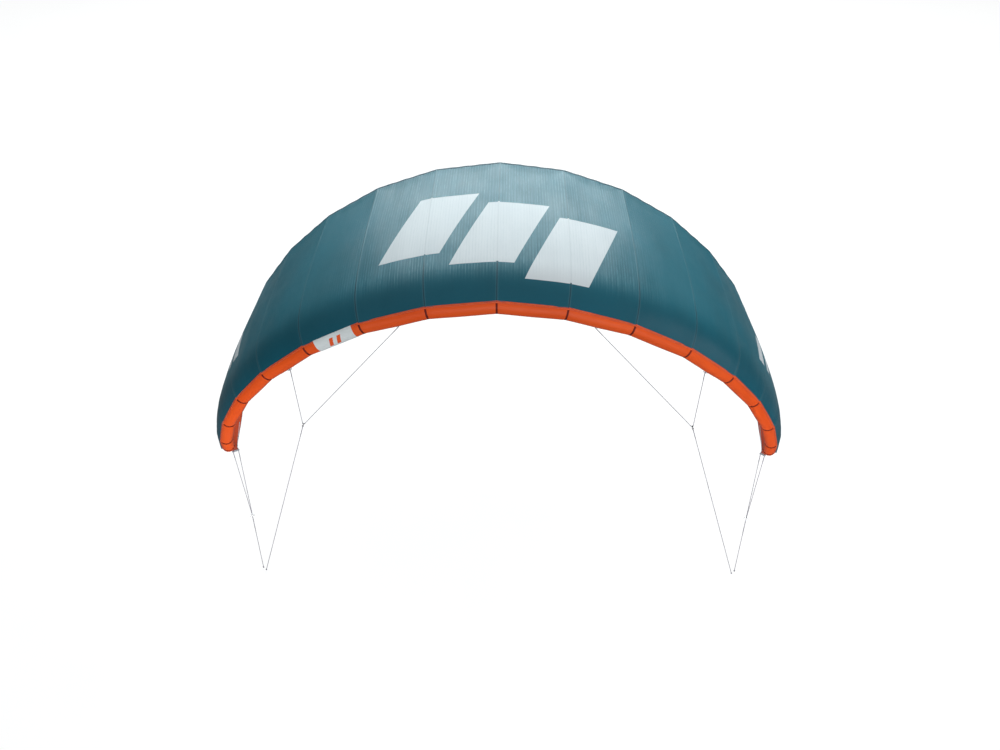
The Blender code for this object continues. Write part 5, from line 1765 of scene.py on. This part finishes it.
def make_clip(label, frame):
    """Clip round the hose: a base and a hinged jaw."""
    part = Part()
    add_boxes(part, frame, CLIP_BASE_BOXES)
    add_rod(part, frame, CLIP_PIN_X, CLIP_PIN_Z, half_length=0.0086, radius=PIN_R)
    add_boxes(part, frame, CLIP_BASE_RIBS)
    part.done("hose_clip_%s_base" % label, "black_plastic", BLACK_PLASTIC,
              replaces=["hose_clip_base_" + label])
    part = Part()
    add_rod(part, frame, CLIP_PIN_X, CLIP_PIN_Z, half_length=0.0046, radius=HUB_R,
            hole=PIN_HOLE_R)
    add_boxes(part, frame, CLIP_JAW_BOXES)
    part.done("hose_clip_%s_jaw" % label, "grey_plastic", GREY_PLASTIC,
              body="clip_jaw_" + label, replaces=["hose_clip_jaw_" + label])


for entry in STRUTS:
    make_hose(*entry)

# ------------------------------------------------------------------ valves
VALVE_OUT = 0.22            # from the middle, along the tube
VALVE_LEAN = 25.0           # degrees forward of straight down
HINGE_X, HINGE_Z = 0.0185, 0.0900


def valve_frame(side):
    """Frame on the tube's axis: z points out through the valve, x along the tube."""
    along, ahead, up = bay_axes(0)
    lean = math.radians(VALVE_LEAN)
    z = unit(-up * math.cos(lean) - ahead * math.sin(lean))
    x = mirror(unit(along - z * float(along @ z)), side)
    z = mirror(z, side)
    return Frame(place(LEAD[0] + BAY_DIR[0] * VALVE_OUT, side), x, np.cross(z, x), z)


def add_fins(part, frame, first_degrees, low, high):
    """Twelve radial fins round the foot of a valve."""
    for degrees in range(0, 360, 30):
        angle = math.radians(degrees + first_degrees)
        radial = frame.x * math.cos(angle) + frame.y * math.sin(angle)
        around = -frame.x * math.sin(angle) + frame.y * math.cos(angle)
        add_box(part, Frame(frame.origin, radial, around, frame.z), low, high, 0.0005)


def make_inflate_valve():
    """Right-hand valve with a hinged cap."""
    frame = valve_frame(1)
    part = Part()
    add_turned_ring(part, frame, (
        (0.0070, 0.0674), (0.0200, 0.0674), (0.0200, 0.0686), (0.0120, 0.0686),
        (0.0120, 0.0840), (0.0140, 0.0840), (0.0140, 0.0885), (0.0070, 0.0885)), 72)
    add_fins(part, frame, 15, (0.0112, -0.0008, 0.0684), (0.0150, 0.0008, 0.0720))
    add_boxes(part, frame, (
        ((0.0108, -0.0070, 0.0822), (0.0190, 0.0070, 0.0860), 0.0008),
        ((0.0155, 0.0041, 0.0826), (0.0215, 0.0069, 0.0925), 0.0010),
        ((0.0155, -0.0069, 0.0826), (0.0215, -0.0041, 0.0925), 0.0010)))
    add_rod(part, frame, HINGE_X, HINGE_Z, half_length=0.0072, radius=PIN_R)
    part.done("inflate_valve_moulding", "black_plastic", BLACK_PLASTIC,
              replaces=["inflate_valve"])

    part = Part()
    add_disc(part, frame, radius=0.0140, low=0.0891, high=0.0921, segments=72,
             dish=0.0006, flutes=24)
    add_turned_ring(part, frame, ((0.0002, 0.0845), (0.0055, 0.0845), (0.0055, 0.0900),
                                  (0.0002, 0.0900)), 40, edge=0.0005)
    part.ring(frame.origin + frame.z * 0.0862, frame.z, 0.0055, 0.0004, 40, 8)
    add_box(part, frame, (0.0100, -0.0033, 0.0892), (0.0162, 0.0033, 0.0920), 0.0006)
    add_rod(part, frame, HINGE_X, HINGE_Z, half_length=0.0034, radius=HUB_R, hole=PIN_HOLE_R)
    add_box(part, frame, (-0.0165, -0.0030, 0.0896), (-0.0130, 0.0030, 0.0917), 0.0008)
    part.done("inflate_cap_moulding", "grey_plastic", GREY_PLASTIC, body="inflate_cap",
              replaces=["inflate_valve_cap"])


def make_deflate_valve():
    """Left-hand valve, wider, with a plug."""
    frame = valve_frame(-1)
    part = Part()
    add_turned_ring(part, frame, (
        (0.0120, 0.0656), (0.0240, 0.0656), (0.0240, 0.0668), (0.0170, 0.0668),
        (0.0170, 0.0830), (0.0190, 0.0830), (0.0190, 0.0870), (0.0120, 0.0870)), 80)
    add_fins(part, frame, 0, (0.0162, -0.0009, 0.0666), (0.0200, 0.0009, 0.0710))
    part.done("deflate_valve_moulding", "black_plastic", BLACK_PLASTIC,
              replaces=["deflate_valve"])

    part = Part()
    add_disc(part, frame, radius=0.0182, low=0.0876, high=0.0906, segments=80,
             dish=0.0005, flutes=30)
    add_turned_ring(part, frame, ((0.0002, 0.0780), (0.0113, 0.0780), (0.0113, 0.0890),
                                  (0.0002, 0.0890)), 56, edge=0.0007)
    for height in (0.0805, 0.0835):
        part.ring(frame.origin + frame.z * height, frame.z, 0.0112, 0.0005, 48, 8)
    add_box(part, frame, (-0.0100, -0.0016, 0.0896), (0.0100, 0.0016, 0.0985), 0.0010)
    part.done("deflate_plug_moulding", "grey_plastic", GREY_PLASTIC, body="deflate_plug",
              replaces=["deflate_valve_plug"])


def make_valve_patch(side, tag):
    """Round patch on the tube under a valve."""
    angles = circle(56)[:, None]
    radii = np.array([0.0165, 0.0240, 0.0360, 0.0480, 0.0500])[None, :]
    x, y = radii * np.cos(angles), radii * np.sin(angles)
    middle = VALVE_OUT / BAY_WIDTHS[0]
    station = side * (middle + x / BAY_WIDTHS[0])
    angle = math.radians(-90 - VALVE_LEAN) + y / interpolate(TUBE_R, middle)
    part = Part()
    part.slab(*tube_grid(station, angle, puff(station, angle)), -0.0014,
              (0.0005, 0.0013, 0.0013, 0.0012, 0.0005), uv=np.stack([x, y], -1), wrap=True)
    part.done("valve_patch_" + tag, "tube_fabric", SEWN_PATCH)


make_inflate_valve()
make_deflate_valve()
make_valve_patch(1, "inflate")
make_valve_patch(-1, "deflate")


# ------------------------------------------------------------------ leading-edge bladder
def make_tube_bladder():
    station = symmetric(bay_steps(pitch=0.05, least=4) + [BAYS - 0.06])[:, None]
    angle = circle(48)[None, :]
    body = tube(station, angle, np.minimum(puff(station, angle), 0.0) - 0.0030)

    def end_rings(last, before):
        """Closing rings from the outermost in: distance out and share of the radius."""
        centre = last.mean(0)
        out = unit(centre - before.mean(0))
        return [(centre + out * x + (last - centre) * share)[None]
                for x, share in ((0.018, 0.30), (0.015, 0.70), (0.008, 0.92))]

    rings = np.concatenate(end_rings(body[0], body[1]) + [body]
                           + end_rings(body[-1], body[-2])[::-1])
    add_bladder("leading_edge_bladder_film", rings, (0.05, 0.009), "leading_edge_bladder")


make_tube_bladder()

# ------------------------------------------------------------------ floor, light, camera
FLOOR_HALF, FLOOR_Z = 60, -0.004


def link(ob):
    bpy.context.scene.collection.objects.link(ob)
    return ob


def make_floor():
    mesh = bpy.data.meshes.new("studio_floor")
    corners = ((-1, -1), (1, -1), (1, 1), (-1, 1))
    mesh.from_pydata([(x * FLOOR_HALF, y * FLOOR_HALF, FLOOR_Z) for x, y in corners],
                     [], [(0, 1, 2, 3)])
    floor = link(bpy.data.objects.new("studio_floor", mesh))
    m = Shader("pale_floor", rough=0.9, spec=0.0)
    tone = m.object_vector().noise(scale=1.5, detail=3.0)
    seen = m.node("ShaderNodeLightPath", "Is Camera Ray")
    pale = m.mix(tone.ramp(MID_TONES, to=(0.0, 1.0)), (0.21, 0.21, 0.21), (0.22, 0.22, 0.22))
    m.set("Base Color", m.mix(seen, (0.23, 0.23, 0.23), pale))
    m.set("Emission Color", (1.0, 1.0, 1.0))
    m.set("Emission Strength", seen * 0.80)
    # seen from beneath, the floor isn't there
    below = m.node("ShaderNodeNewGeometry", "Backfacing")
    m.set("Alpha", 1.0 - below * seen)
    mesh.materials.append(m.material)


def make_world():
    """Soft light from above that the camera sees as plain white."""
    world = bpy.data.worlds.new("studio")
    bpy.context.scene.world = world
    world.use_nodes = True
    nodes, links = world.node_tree.nodes, world.node_tree.links
    background = nodes["Background"]
    coordinates = nodes.new("ShaderNodeTexCoord")
    split = nodes.new("ShaderNodeSeparateXYZ")
    links.new(coordinates.outputs["Generated"], split.inputs[0])
    ramp = nodes.new("ShaderNodeMapRange")
    ramp.interpolation_type = "SMOOTHSTEP"
    links.new(split.outputs[2], ramp.inputs[0])
    # strength 0.12 to 0.75 as the direction's z goes from 0.10 to 0.95
    for i, value in enumerate((0.10, 0.95, 0.12, 0.75)):
        ramp.inputs[i + 1].default_value = value
    light_path = nodes.new("ShaderNodeLightPath")
    mix = nodes.new("ShaderNodeMix")
    mix.data_type = "FLOAT"
    links.new(light_path.outputs["Is Camera Ray"], mix.inputs[0])
    links.new(ramp.outputs[0], mix.inputs[2])
    mix.inputs[3].default_value = 1.0
    links.new(mix.outputs[0], background.inputs["Strength"])
    background.inputs["Color"].default_value = (1, 1, 1, 1)


def area_light(name, location, aim, size, watts, colour=(1, 1, 1), spread=180.0):
    light = bpy.data.lights.new(name, "AREA")
    light.shape = "RECTANGLE"
    light.size, light.size_y = size
    light.energy = watts
    light.color = colour
    light.spread = math.radians(spread)
    ob = bpy.data.objects.new(name, light)
    ob.location = location
    ob.rotation_euler = (Vector(aim) - Vector(location)).to_track_quat("-Z", "Y").to_euler()
    link(ob)


def make_lights():
    area_light("soft_box_rear", location=(0.0, 8.5, 5.7), aim=(0, 0.2, 2.8),
               size=(9.4, 5.0), watts=1080, colour=(0.86, 0.98, 1.0))
    area_light("soft_box_front", location=(1.5, -9.0, 2.4), aim=(0, -0.5, 2.4),
               size=(8.0, 3.6), watts=440)
    area_light("tip_fill_left", location=(-1.5, -5.0, 1.6), aim=(-2.15, -0.3, 1.2),
               size=(1.8, 1.8), watts=11.0, spread=40.0)
    area_light("tip_fill_right", location=(1.5, -5.0, 1.6), aim=(2.15, -0.3, 1.2),
               size=(1.8, 1.8), watts=7.0, spread=40.0)
    area_light("soft_box_right", location=(9.0, -1.0, 5.5), aim=(0.5, 0.0, 2.4),
               size=(5.0, 5.0), watts=205)


def make_camera():
    """Camera ahead of and above the kite, looking back and down."""
    camera = bpy.data.cameras.new("camera")
    camera.lens = 62.86
    camera.sensor_width = 36.0
    ob = bpy.data.objects.new("camera", camera)
    right = Vector((0.99991, 0.01289, -0.00219))
    up = Vector((-0.00665, 0.64559, 0.76366))
    forward = Vector((-0.01126, 0.76358, -0.64562))
    turn = Matrix((right, up, -forward)).transposed()
    ob.matrix_world = Matrix.Translation((0.1654, -10.65086, 10.670175)) @ turn.to_4x4()
    scene = bpy.context.scene
    link(ob)
    scene.camera = ob
    scene.view_settings.view_transform = "Standard"
    scene.view_settings.look = "None"


make_floor()
make_world()
make_lights()
make_camera()

bpy.context.view_layer.update()
